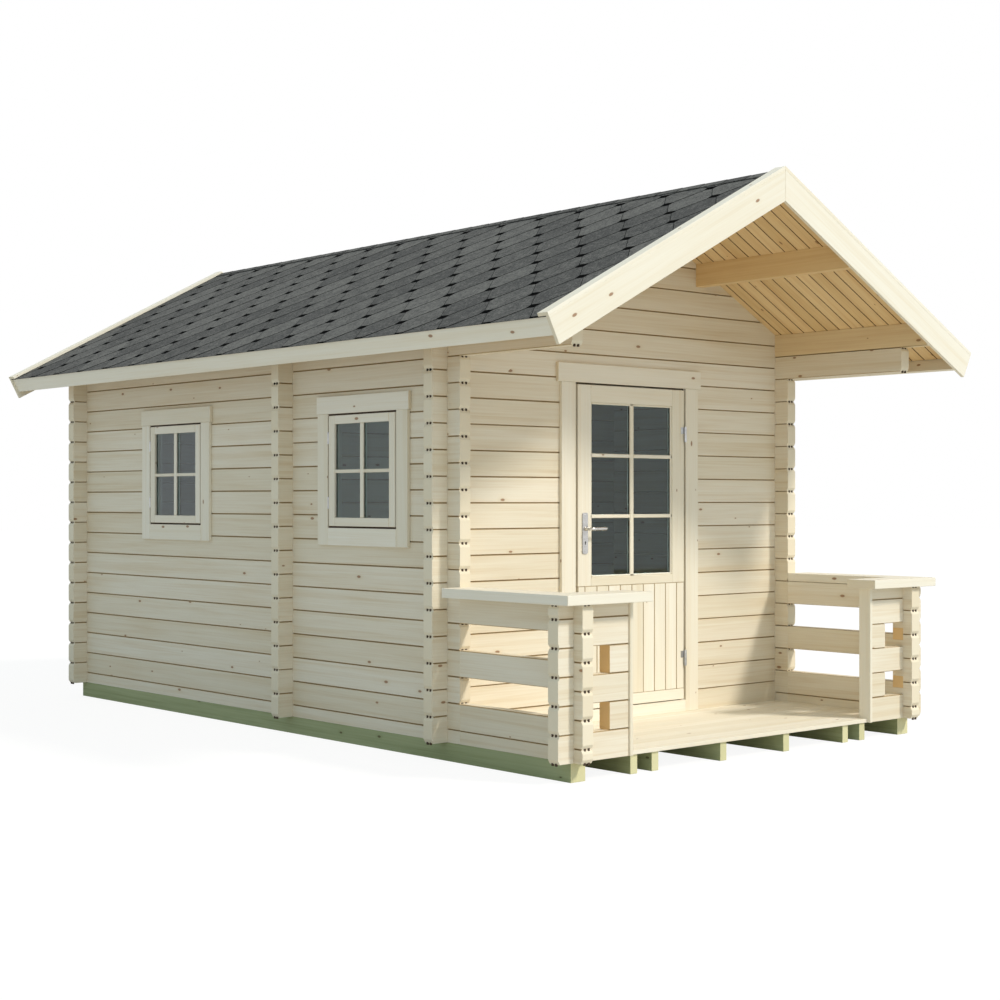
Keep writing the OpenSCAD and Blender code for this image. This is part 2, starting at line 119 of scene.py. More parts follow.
class Shader:
    """Wires the nodes of one material or world."""

    def __init__(self, owner: Union[bpy.types.Material, bpy.types.World], output: str) -> None:
        """Starts an empty node tree.

        Args:
            owner: the material or world that the nodes belong to.
            output: the kind of its output node.
        """
        owner.use_nodes = True
        self.owner = owner
        self.tree = owner.node_tree
        self.tree.nodes.clear()
        self.output = self.node(output)

    def put(self, socket: bpy.types.NodeSocket, value: Input) -> None:
        """Links a socket into another, or sets its plain value.

        Args:
            socket: the input to fill.
            value: another node's output, a number or a colour.
        """
        if isinstance(value, bpy.types.NodeSocket):
            self.tree.links.new(value, socket)
        elif isinstance(value, (int, float)):
            socket.default_value = value
        else:
            room = len(socket.default_value)
            socket.default_value = tuple(value) + (1.0,) * (room - len(value))

    def node(self, kind: str, inputs: Optional[dict[Union[str, int], Input]] = None,
             **settings: object) -> bpy.types.Node:
        """Adds a node.

        Args:
            kind: the node's type after "ShaderNode".
            inputs: values or outputs for its inputs, by name or number.
            settings: the node's own settings.

        Returns:
            The new node.
        """
        made = self.tree.nodes.new("ShaderNode" + kind)
        for name, value in settings.items():
            setattr(made, name, value)
        for name, value in (inputs or {}).items():
            self.put(made.inputs[name], value)
        return made

    def math(self, operation: str, a: Input, b: Input = 0.0, clamp: bool = False) -> bpy.types.NodeSocket:
        """Adds a math node and returns its result."""
        made = self.tree.nodes.new("ShaderNodeMath")
        made.operation = operation
        made.use_clamp = clamp
        self.put(made.inputs[0], a)
        self.put(made.inputs[1], b)
        return made.outputs[0]

    def fade(self, value: Input, start: float, end: float, low: float = 0.0,
             high: float = 1.0) -> bpy.types.NodeSocket:
        """Maps a value smoothly from the range start to end onto low to high.

        Args:
            value: the value to map.
            start: the input that gives low.
            end: the input that gives high.
            low: result at start.
            high: result at end.

        Returns:
            The mapped value.
        """
        made = self.node("MapRange", {"Value": value, "From Min": start, "From Max": end,
                                      "To Min": low, "To Max": high},
                         interpolation_type="SMOOTHSTEP")
        return made.outputs["Result"]

    def blend(self, factor: Input, a: Input, b: Input, how: str = "MIX") -> bpy.types.NodeSocket:
        """Mixes two colours.

        Args:
            factor: share of the second colour.
            a: first colour.
            b: second colour.
            how: the blend type.

        Returns:
            The mixed colour.
        """
        made = self.node("Mix", data_type="RGBA", blend_type=how)
        self.put(made.inputs[0], factor)
        self.put(made.inputs[6], a)
        self.put(made.inputs[7], b)
        return made.outputs[2]

    def noise(self, vector: Input, scale: Sequence[float], detail: float = 3.0, rough: float = 0.55,
              bend: float = 0.0) -> bpy.types.NodeSocket:
        """Noise over a stretched vector.

        Args:
            vector: where the noise is read.
            scale: cells per metre on each axis.
            detail: octaves.
            rough: strength of the finer octaves.
            bend: distortion.

        Returns:
            The noise, 0 to 1.
        """
        place = self.node("Mapping", {"Vector": vector, "Scale": scale})
        made = self.node("TexNoise", {"Vector": place.outputs[0], "Scale": 1.0, "Detail": detail,
                                      "Roughness": rough, "Distortion": bend})
        return made.outputs[0]

    def bump(self, height: Input, strength: float, distance: float) -> bpy.types.NodeSocket:
        """Turns a height into a normal."""
        made = self.node("Bump", {"Height": height, "Strength": strength, "Distance": distance})
        return made.outputs[0]

    def surface(self, inputs: dict[str, Input]) -> bpy.types.Material:
        """Ends the material with one principled surface.

        Args:
            inputs: values for the surface's inputs.

        Returns:
            The finished material.
        """
        return self.end(self.node("BsdfPrincipled", inputs))

    def seen(self) -> bpy.types.NodeSocket:
        """1 where the eye looks, straight or through a reflection or glass, and 0 for lighting."""
        rays = self.node("LightPath").outputs
        mirrored = self.math("MAXIMUM", rays["Is Glossy Ray"], rays["Is Transmission Ray"])
        return self.math("MAXIMUM", rays["Is Camera Ray"], mirrored)

    def mix(self, share: Input, a: bpy.types.Node, b: bpy.types.Node) -> bpy.types.Node:
        """Mixes two surfaces or backgrounds by the share of the second."""
        return self.node("MixShader", {0: share, 1: a.outputs[0], 2: b.outputs[0]})

    def end(self, last: bpy.types.Node) -> Union[bpy.types.Material, bpy.types.World]:
        """Links the last node to the output, and returns the material or world."""
        self.tree.links.new(last.outputs[0], self.output.inputs["Surface"])
        return self.owner


@dataclass(frozen=True)
class Finish:
    """A finish that makes its material once and shares it after that."""

    name: str
    made: ClassVar[dict[str, bpy.types.Material]] = {}

    def material(self) -> bpy.types.Material:
        """The shared material of this finish."""
        if self.name not in Finish.made:
            material = bpy.data.materials.new(self.name)
            Finish.made[self.name] = self.wire(Shader(material, "OutputMaterial"))
        return Finish.made[self.name]

    def wire(self, shader: Shader) -> bpy.types.Material:
        """Wires the nodes; every finish has its own way."""
        raise NotImplementedError


@dataclass(frozen=True)
class PlanedTimber(Finish):
    """Long faces of planed softwood: streaks along the fibres, soft bands and knots."""

    pale: Colour = linear(240, 231, 212)
    band: Colour = linear(224, 206, 175)
    knot: Colour = linear(148, 104, 66)
    knot_share: float = 0.27
    spread: float = 0.09
    rough: float = 0.62
    gloss: float = 0.35
    relief: float = 0.0006
    fibre_scale: Point = (2.2, 120, 1)
    streak_scale: Point = (0.7, 26, 1)
    cloud_scale: Point = (0.9, 5, 1)
    knot_scale: Point = (3.4, 7.6, 1.0)
    fibre_fade: Fade = (0.35, 0.75, 0.0, 0.32)
    streak_fade: Fade = (0.42, 0.74, 0.0, 0.55)
    cloud_fade: Fade = (0.45, 0.75, 0.0, 0.30)
    knot_fade: Fade = (0.55, 1.05, 1.0, 0.0)
    halo_fade: Fade = (0.9, 2.8, 1.0, 0.0)
    knot_sizes: tuple[float, float] = (0.022, 0.070)
    knot_mix: float = 0.85
    halo_mix: float = 0.35
    knot_sink: float = 0.6

    def wire(self, shader: Shader) -> bpy.types.Material:
        """Wires streaks, bands, knots and each piece's own tone.

        Args:
            shader: the empty material.

        Returns:
            The finished material.
        """
        grain = shader.node("Attribute", attribute_name="grain").outputs["Vector"]
        tone = shader.node("Attribute", attribute_name="tone").outputs["Fac"]
        fibre = shader.noise(grain, self.fibre_scale, 4, 0.6)
        streak = shader.noise(grain, self.streak_scale, 3, 0.6, 0.5)
        cloud = shader.noise(grain, self.cloud_scale, 2, 0.5)
        share = shader.math("ADD", shader.fade(streak, *self.streak_fade),
                            shader.fade(fibre, *self.fibre_fade), clamp=True)
        share = shader.math("ADD", share, shader.fade(cloud, *self.cloud_fade), clamp=True)
        colour = shader.blend(share, self.pale, self.band)
        colour = shader.blend(1.0, colour, shader.node("CombineColor", {
            "Red": shader.fade(tone, 0, 1, 1 - self.spread * 0.8, 1.0),
            "Green": shader.fade(tone, 0, 1, 1 - self.spread, 1.0),
            "Blue": shader.fade(tone, 0, 1, 1 - self.spread * 1.5, 1.0)}).outputs[0], "MULTIPLY")
        near, dark = self.knots(shader, grain)
        colour = shader.blend(shader.math("MULTIPLY", near, self.halo_mix), colour, self.band)
        colour = shader.blend(shader.math("MULTIPLY", dark, self.knot_mix), colour, self.knot)
        height = shader.math("SUBTRACT", fibre, shader.math("MULTIPLY", dark, self.knot_sink))
        return shader.surface({
            "Base Color": colour,
            "Roughness": shader.fade(fibre, 0.2, 0.8, self.rough - 0.06, self.rough + 0.08),
            "Specular IOR Level": self.gloss,
            "Normal": shader.bump(height, 0.25, self.relief)})

    def knots(self, shader: Shader, grain: Input) -> tuple[bpy.types.NodeSocket, bpy.types.NodeSocket]:
        """Knots scattered along the piece.

        Args:
            shader: the material.
            grain: the place along and across the fibres.

        Returns:
            The soft ring around each knot, and the knot itself.
        """
        place = shader.node("Mapping", {"Vector": grain, "Scale": self.knot_scale})
        cells = shader.node("TexVoronoi", {"Vector": place.outputs[0], "Scale": 1.0},
                            voronoi_dimensions="2D")
        split = shader.node("SeparateColor", {"Color": cells.outputs["Color"]})
        here = shader.math("LESS_THAN", split.outputs[0], self.knot_share)
        size = shader.fade(split.outputs[1], 0, 1, *self.knot_sizes)
        reach = shader.math("DIVIDE", cells.outputs["Distance"], size)
        dark = shader.math("MULTIPLY", shader.fade(reach, *self.knot_fade), here)
        near = shader.math("MULTIPLY", shader.fade(reach, *self.halo_fade), here)
        return near, dark


@dataclass(frozen=True)
class EndGrain(Finish):
    """Sawn ends: arcs of growth rings, paler and rougher than the long faces."""

    pale: Colour = linear(242, 232, 210)
    ring: Colour = linear(220, 200, 164)
    heart: Point = (0.0, 0.05, 0.0)
    turns: float = 950.0
    wobble: float = 2.4
    ring_fade: Fade = (-0.2, 1.0, 0.0, 0.5)
    relief: float = 0.0008

    def wire(self, shader: Shader) -> bpy.types.Material:
        """Wires ring arcs around a heart below each piece.

        Args:
            shader: the empty material.

        Returns:
            The finished material.
        """
        grain = shader.node("Attribute", attribute_name="grain").outputs["Vector"]
        tone = shader.node("Attribute", attribute_name="tone").outputs["Fac"]
        place = shader.node("Mapping", {"Vector": grain, "Location": self.heart})
        split = shader.node("SeparateXYZ", {"Vector": place.outputs[0]})
        square = [shader.math("MULTIPLY", split.outputs[i], split.outputs[i]) for i in (0, 1)]
        radius = shader.math("SQRT", shader.math("ADD", square[0], square[1]))
        rough = shader.noise(grain, (90, 90, 1), 3, 0.6)
        turn = shader.math("ADD", shader.math("MULTIPLY", radius, self.turns),
                           shader.math("MULTIPLY", rough, self.wobble))
        rings = shader.fade(shader.math("SINE", turn), *self.ring_fade)
        colour = shader.blend(rings, self.pale, self.ring)
        colour = shader.blend(shader.fade(tone, 0, 1, 0.0, 0.25), colour, self.ring)
        return shader.surface({"Base Color": colour, "Roughness": 0.8, "Specular IOR Level": 0.25,
                               "Normal": shader.bump(rough, 0.35, self.relief)})


@dataclass(frozen=True)
class Shingle(Finish):
    """Bitumen felt with mineral granules, each tab a little lighter or darker."""

    dark: Colour = linear(68, 68, 67)
    light: Colour = linear(122, 120, 115)
    granule_scale: Point = (75, 75, 75)
    patch_scale: Point = (16, 16, 16)
    tab_fade: Fade = (0.0, 1.0, 0.0, 0.45)
    patch_fade: Fade = (0.3, 0.75, 0.0, 0.4)
    granule_fade: Fade = (0.35, 0.70, -0.45, 0.55)
    relief: float = 0.0015

    def wire(self, shader: Shader) -> bpy.types.Material:
        """Wires granules over the tab's own tone.

        Args:
            shader: the empty material.

        Returns:
            The finished material.
        """
        place = shader.node("TexCoord").outputs["Object"]
        tone = shader.node("Attribute", attribute_name="tone").outputs["Fac"]
        fine = shader.noise(place, self.granule_scale, 4, 0.8)
        patch = shader.noise(place, self.patch_scale, 3, 0.6)
        share = shader.math("ADD", shader.fade(tone, *self.tab_fade), shader.fade(patch, *self.patch_fade))
        share = shader.math("ADD", share, shader.fade(fine, *self.granule_fade), clamp=True)
        colour = shader.blend(share, self.dark, self.light)
        return shader.surface({"Base Color": colour, "Roughness": 0.93, "Specular IOR Level": 0.2,
                               "Normal": shader.bump(fine, 0.5, self.relief)})


@dataclass(frozen=True)
class PlainCoat(Finish):
    """A plain opaque finish with slight mottling, such as dark felt edges or paint."""

    colour: Colour = linear(40, 40, 42)
    rough: float = 0.85
    metal: float = 0.0
    gloss: float = 0.5
    patch_scale: Point = (60, 60, 60)
    darker: float = 0.82
    relief: float = 0.0004

    def wire(self, shader: Shader) -> bpy.types.Material:
        """Wires a mottled coat.

        Args:
            shader: the empty material.

        Returns:
            The finished material.
        """
        place = shader.node("TexCoord").outputs["Object"]
        patch = shader.noise(place, self.patch_scale, 3, 0.6)
        darker = tuple(part * self.darker for part in self.colour)
        return shader.surface({
            "Base Color": shader.blend(shader.fade(patch, 0.3, 0.7), self.colour, darker),
            "Metallic": self.metal,
            "Specular IOR Level": self.gloss,
            "Roughness": shader.fade(patch, 0.2, 0.8, max(self.rough - 0.06, 0.05), self.rough + 0.05),
            "Normal": shader.bump(patch, 0.08, self.relief)})


@dataclass(frozen=True)
class PaneGlass(Finish):
    """Clear glass that lets light through to the room behind it."""

    tint: Colour = (0.60, 0.76, 0.81)
    bend: float = 1.38
    gloss: float = 0.3
    wave_scale: Point = (2.0, 2.0, 2.0)

    def wire(self, shader: Shader) -> bpy.types.Material:
        """Wires clear glass with plain see-through shadows.

        Args:
            shader: the empty material.

        Returns:
            The finished material.
        """
        place = shader.node("TexCoord").outputs["Object"]
        wave = shader.noise(place, self.wave_scale, 1, 0.4)
        glass = shader.node("BsdfPrincipled", {
            "Base Color": self.tint, "Roughness": 0.0, "IOR": self.bend, "Transmission Weight": 1.0,
            "Specular IOR Level": self.gloss,
            "Normal": shader.bump(wave, 0.02, 0.002)})
        clear = shader.node("BsdfTransparent", {"Color": self.tint})
        return shader.end(shader.mix(shader.node("LightPath").outputs["Is Shadow Ray"], glass, clear))


@dataclass(frozen=True)
class Backdrop(Finish):
    """Floor that looks near white to the eye and keeps the building's shadow."""

    share: float = 0.80
    glow: float = 1.13
    matt: Colour = (0.64, 0.62, 0.58)

    def wire(self, shader: Shader) -> bpy.types.Material:
        """Wires a pale floor, lit by itself only where it is looked at.

        Args:
            shader: the empty material.

        Returns:
            The finished material.
        """
        matt = shader.node("BsdfDiffuse", {"Color": self.matt})
        glow = shader.node("Emission", {"Color": (1.0, 1.0, 1.0), "Strength": self.glow})
        return shader.end(shader.mix(shader.math("MULTIPLY", shader.seen(), self.share), matt, glow))


LOG_FACE = PlanedTimber("log_face")
LOG_END = EndGrain("log_end")
# Darker copy of the log face for the faces of the V joints: painted shade in the grooves.
LOG_JOINT_SHADE = PlanedTimber("log_joint", pale=linear(186, 162, 122), band=linear(158, 132, 94), knot_share=0.0)
# End grain for the cut faces inside the return openings: real rings, with a warmer, darker tone that paints
# the shade inside the openings.
CUT_FACE_SHADE = EndGrain("cut_face", pale=linear(238, 204, 150), ring=linear(218, 176, 116))
# Dark blocks in the tongue slots of the log ends: painted shade inside the slots.
TONGUE_SLOT_SHADE = PlainCoat("tongue_gap", colour=linear(72, 54, 38), rough=0.9)
BOARD_FACE = PlanedTimber("board_face", pale=linear(245, 238, 222), band=linear(237, 225, 201),
                          knot_share=0.22)
BOARD_END = EndGrain("board_end")
# Darker copy of the board face for the eased edges of the door's grooved boards: painted shade in the grooves.
GROOVE_FACE_SHADE = PlanedTimber("groove_face", pale=linear(196, 176, 142), band=linear(170, 148, 114),
                           knot_share=0.0)
# Thin dark strips in the gaps round the door leaf and the window sash: painted shade in the gaps.
SEAL = PlainCoat("dark_seal", colour=linear(62, 42, 28), rough=0.9)
SOFFIT_FACE = PlanedTimber("soffit_face", pale=linear(243, 213, 162), band=linear(224, 186, 132),
                           knot_share=0.26, spread=0.14)
# Warmer, darker copy of the log face for the top logs under the roof: painted shade.
SHADE_TAN_FACE = PlanedTimber("tan_face", pale=linear(240, 219, 178), band=linear(224, 192, 146))
# Dark brown for the eased edges of the roof boards: painted shade in the V joints seen from below.
SOFFIT_GROOVE_SHADE = PlanedTimber("soffit_groove", pale=linear(112, 72, 36), band=linear(92, 56, 28),
                             knot_share=0.0)
TREATED_FACE = PlanedTimber("treated_face", pale=linear(172, 180, 138), band=linear(138, 148, 104),
                            knot=linear(86, 78, 46), spread=0.12, rough=0.75)
TREATED_END = EndGrain("treated_end", pale=linear(228, 222, 180), ring=linear(186, 182, 130))
FELT = Shingle("shingle_granules")
# Near black for the felt's cut edges and printed shadow band, also used for the painted shadow rim under each
# tab and the painted shade under each tab's foot.
FELT_EDGE_AND_SHADE = PlainCoat("shingle_edge", colour=linear(20, 20, 20), rough=1.0, gloss=0.0)
GLASS = PaneGlass("window_pane")
HINGE_STEEL = PlainCoat("hinge_steel", colour=linear(198, 200, 202), rough=0.36, metal=1.0)
LEVER_STEEL = PlainCoat("lever_steel", colour=linear(205, 204, 202), rough=0.28, metal=1.0)
# Near black for the flat keyhole shapes: painted shade in the holes.
KEYHOLE_SHADE = PlainCoat("keyhole_dark", colour=linear(28, 26, 24), rough=0.8)
TIMBER = (LOG_FACE, LOG_END, LOG_JOINT_SHADE, CUT_FACE_SHADE, TONGUE_SLOT_SHADE)
SHADED_TIMBER = (SHADE_TAN_FACE, LOG_END, LOG_JOINT_SHADE, CUT_FACE_SHADE, TONGUE_SLOT_SHADE)
BOARDS = (BOARD_FACE, BOARD_END)
JOINERY = (BOARD_FACE, BOARD_END, GROOVE_FACE_SHADE, SEAL)


# ---------------------------------------------------------------- mesh building


@dataclass
class Grown:
    """How one piece of timber has grown: its directions, its place in the tree and its tone."""

    basis: Matrix
    shift: Vector
    tone: float


class Joinery:
    """Builds the pieces of one named object in a single mesh, each with its own grain."""

    def __init__(self, name: str) -> None:
        """Starts an empty mesh.

        Args:
            name: the finished object's name, which also starts its random draws.
        """
        self.name = name
        self.random = random.Random(name + "0")
        self.mesh = bmesh.new()
        self.piece = self.mesh.faces.layers.int.new("piece")
        self.part = self.mesh.faces.layers.int.new("part")
        self.grown: list[Grown] = []

    def grow(self, basis: Matrix) -> int:
        """Adds a piece of timber to the list.

        Args:
            basis: rows along, across and through the piece.

        Returns:
            The piece's number.
        """
        draw = self.random
        shift = Vector((draw.uniform(0, 40), draw.uniform(0, 20), 0))
        self.grown.append(Grown(basis, shift, draw.random()))
        return len(self.grown) - 1

    def solid(self, corners: Sequence[Sequence[float]], basis: Matrix, ease: float = 0.0015,
              steps: int = 1, part: int = 0, groove: int = 0) -> None:
        """Adds a six-sided solid with eased edges.

        Args:
            corners: eight points, the lower four and then the four over them, each in turn.
            basis: rows along, across and through the piece.
            ease: width of the eased edges.
            steps: facets on each eased edge.
            part: fixed material of its faces, or 0 to tell long faces from ends.
            groove: fixed material of its eased edges, or 0 for the same as the rest.
        """
        number = self.grow(basis)
        verts = [self.mesh.verts.new(c) for c in corners]
        rows = ((0, 3, 2, 1), (4, 5, 6, 7), (0, 1, 5, 4), (1, 2, 6, 5), (2, 3, 7, 6), (3, 0, 4, 7))
        faces = [self.mesh.faces.new([verts[i] for i in row]) for row in rows]
        for face in faces:
            face[self.piece] = number
            face[self.part] = part
        bmesh.ops.recalc_face_normals(self.mesh, faces=faces)
        if ease > 0:
            edges = list({edge for face in faces for edge in face.edges})
            made = bmesh.ops.bevel(self.mesh, geom=edges, offset=ease, segments=steps,
                                   profile=0.5, affect="EDGES", clamp_overlap=True)
            for face in made["faces"]:
                face[self.piece] = number
                face[self.part] = groove or part

    def block(self, low: Sequence[float], high: Sequence[float], along: Axis, ease: float = 0.0015,
              steps: int = 1, part: int = 0, groove: int = 0) -> None:
        """Adds an upright block between two corners.

        Args:
            low: lowest corner.
            high: highest corner.
            along: way of the fibres.
            ease: width of the eased edges.
            steps: facets on each eased edge.
            part: fixed material of its faces, or 0 to tell long faces from ends.
            groove: fixed material of its eased edges, or 0 for the same as the rest.
        """
        (x0, y0, z0), (x1, y1, z1) = low, high
        plan = ((x0, y0), (x1, y0), (x1, y1), (x0, y1))
        corners = [(x, y, z0) for x, y in plan] + [(x, y, z1) for x, y in plan]
        self.solid(corners, along.basis(), ease, steps, part, groove)

    def prism(self, outline: Sequence[Sequence[float]], depth: Sequence[float], basis: Matrix,
              part: int = 0, side_part: int = 0) -> None:
        """Adds a solid between an outline and the same outline moved.

        Args:
            outline: the first end's points, in turn.
            depth: how far the second end lies from it.
            basis: rows along, across and through the piece.
            part: fixed material of the two ends.
            side_part: fixed material of the sides.
        """
        number = self.grow(basis)
        first = [self.mesh.verts.new(p) for p in outline]
        second = [self.mesh.verts.new(Vector(p) + Vector(depth)) for p in outline]
        faces = [self.mesh.faces.new(first[::-1]), self.mesh.faces.new(second)]
        for face in faces:
            face[self.part] = part
        count = len(first)
        for i in range(count):
            j = (i + 1) % count
            face = self.mesh.faces.new((first[i], first[j], second[j], second[i]))
            face[self.part] = side_part
            faces.append(face)
        for face in faces:
            face[self.piece] = number
        bmesh.ops.recalc_face_normals(self.mesh, faces=faces)

    def carry(self, node: str) -> None:
        """Takes in a copy of a CAD node's mesh, with its flat faces made whole."""
        self.mesh.from_mesh(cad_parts[node].data)
        bmesh.ops.remove_doubles(self.mesh, verts=self.mesh.verts, dist=1e-5)
        bmesh.ops.dissolve_limit(self.mesh, angle_limit=math.radians(0.5),
                                 verts=self.mesh.verts, edges=self.mesh.edges)
        self.piece = self.mesh.faces.layers.int.get("piece") or self.mesh.faces.layers.int.new("piece")
        self.part = self.mesh.faces.layers.int.get("part") or self.mesh.faces.layers.int.new("part")

    def ease_edges(self, width: float, steps: int = 1) -> None:
        """Eases every edge that turns by more than 25 degrees.

        Args:
            width: width of the eased edges.
            steps: facets on each of them.
        """
        sharp = [e for e in self.mesh.edges
                 if len(e.link_faces) == 2 and e.calc_face_angle(0) > math.radians(25)]
        bmesh.ops.bevel(self.mesh, geom=sharp, offset=width, segments=steps, profile=0.5,
                        affect="EDGES", clamp_overlap=True)

    def share_out(self, basis: Callable[[Vector], Matrix], label: Callable[[Vector], int]) -> None:
        """Gives each face of a carried mesh to a piece of timber.

        Args:
            basis: the piece's directions, from a face's middle.
            label: the piece's label, from a face's middle.
        """
        known: dict[int, int] = {}
        for face in self.mesh.faces:
            middle = face.calc_center_median()
            key = label(middle)
            if key not in known:
                known[key] = self.grow(basis(middle))
            face[self.piece] = known[key]

    def finish(self, finishes: Sequence[Finish], body: Body, slot: str, nodes: Sequence[str] = (),
               smooth: float = 0.0) -> bpy.types.Object:
        """Writes the mesh, its grain and its finishes, and sets the object on its body.

        Args:
            finishes: long faces first, then ends, then any other part.
            body: the body it rides on.
            slot: not used.
            nodes: CAD nodes that it stands for.
            smooth: edges flatter than this many degrees are shaded smooth.

        Returns:
            The finished object.
        """
        self.mesh.faces.ensure_lookup_table()
        grain: list[float] = []
        tone: list[float] = []
        for face in self.mesh.faces:
            own = self.grown[face[self.piece]] if self.grown else Grown(Matrix.Identity(3), Vector(), 0.5)
            normal = own.basis @ face.normal
            is_end = abs(normal.x) > 0.7
            if face[self.part]:
                face.material_index = min(face[self.part], len(finishes) - 1)
            else:
                face.material_index = 1 if is_end and len(finishes) > 1 else 0
            tone.append(own.tone)
            face.smooth = smooth > 0
            for loop in face.loops:
                place = own.basis @ loop.vert.co
                if is_end:
                    near = Vector((own.shift.x % 0.06 - 0.03, own.shift.y % 0.05, 0))
                    grain += (place.z % 1.0 + near.x, (place.y * 7.4) % 1.0 / 7.4 + near.y, 0.0)
                elif abs(normal.z) > abs(normal.y):
                    grain += (place.x + own.shift.x, place.y + own.shift.y, 0.0)
                else:
                    grain += (place.x + own.shift.x, place.z + own.shift.y, 0.0)
        data = bpy.data.meshes.new(self.name)
        self.mesh.to_mesh(data)
        self.mesh.free()
        data.attributes.new("grain", "FLOAT_VECTOR", "CORNER").data.foreach_set("vector", grain)
        data.attributes.new("tone", "FLOAT", "FACE").data.foreach_set("value", tone)
        if smooth > 0:
            data.set_sharp_from_angle(angle=math.radians(smooth))
        for finish in finishes:
            data.materials.append(finish.material())
        made = bpy.data.objects.new(self.name, data)
        bpy.context.scene.collection.objects.link(made)
        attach(made, body.value)
        if nodes:
            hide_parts(*nodes)
        return made


# ---------------------------------------------------------------- shared sizes


@dataclass(frozen=True)
class Site:
    """Sizes that several sub-assemblies share, in metres, in the frame's own axes."""

    base: float = 0.095
    log_height: float = 0.135
    log_thick: float = 0.070
    front: float = -1.6075
    length: float = 3.905
    half_width: float = 1.316
    cross: float = -0.2235
    porch_front: float = -2.5375
    roof_end: float = 2.7175
    pitch: float = math.radians(27.6)
    peak: float = 3.0269
    slope: float = 1.8607
    lath: float = 0.018
    felt: float = 0.005
    board: float = 0.024

    @property
    def inside(self) -> float:
        """Half the width between the side walls."""
        return self.half_width - self.log_thick

    @property
    def rear(self) -> float:
        """Outer face of the rear wall."""
        return self.front + self.length

    def on_slope(self, side: Side, u: float, y: float, w: float) -> Point:
        """A point on a slope of the roof.

        Args:
            side: which slope.
            u: distance down the slope from the ridge.
            y: place along the building.
            w: height square to the slope, from the top of the verge laths.

        Returns:
            The point.
        """
        cos, sin = math.cos(self.pitch), math.sin(self.pitch)
        return (side.value * (u * cos + w * sin), y, self.peak - u * sin + w * cos)

    @property
    def bed(self) -> float:
        """Height of the shingles' underside square to the slope, from the top of the verge laths."""
        return -self.lath - self.felt

    def slope_basis(self, side: Side) -> Matrix:
        """Rows down the slope, along the building and square to the slope."""
        cos, sin = math.cos(self.pitch), math.sin(self.pitch)
        return Matrix(((side.value * cos, 0, -sin), (0, 1, 0), (side.value * sin, 0, cos)))


SITE = Site()


def log_course(shift: float) -> Callable[[Vector], int]:
    """Makes the function that tells which course a face of a log wall is in.

    Args:
        shift: height of the lowest whole course over the base, in courses.

    Returns:
        The function from a place to a course's number.
    """
    return lambda middle: int(math.floor((middle.z - SITE.base) / SITE.log_height - shift + 20))


# ---------------------------------------------------------------- sub-assemblies


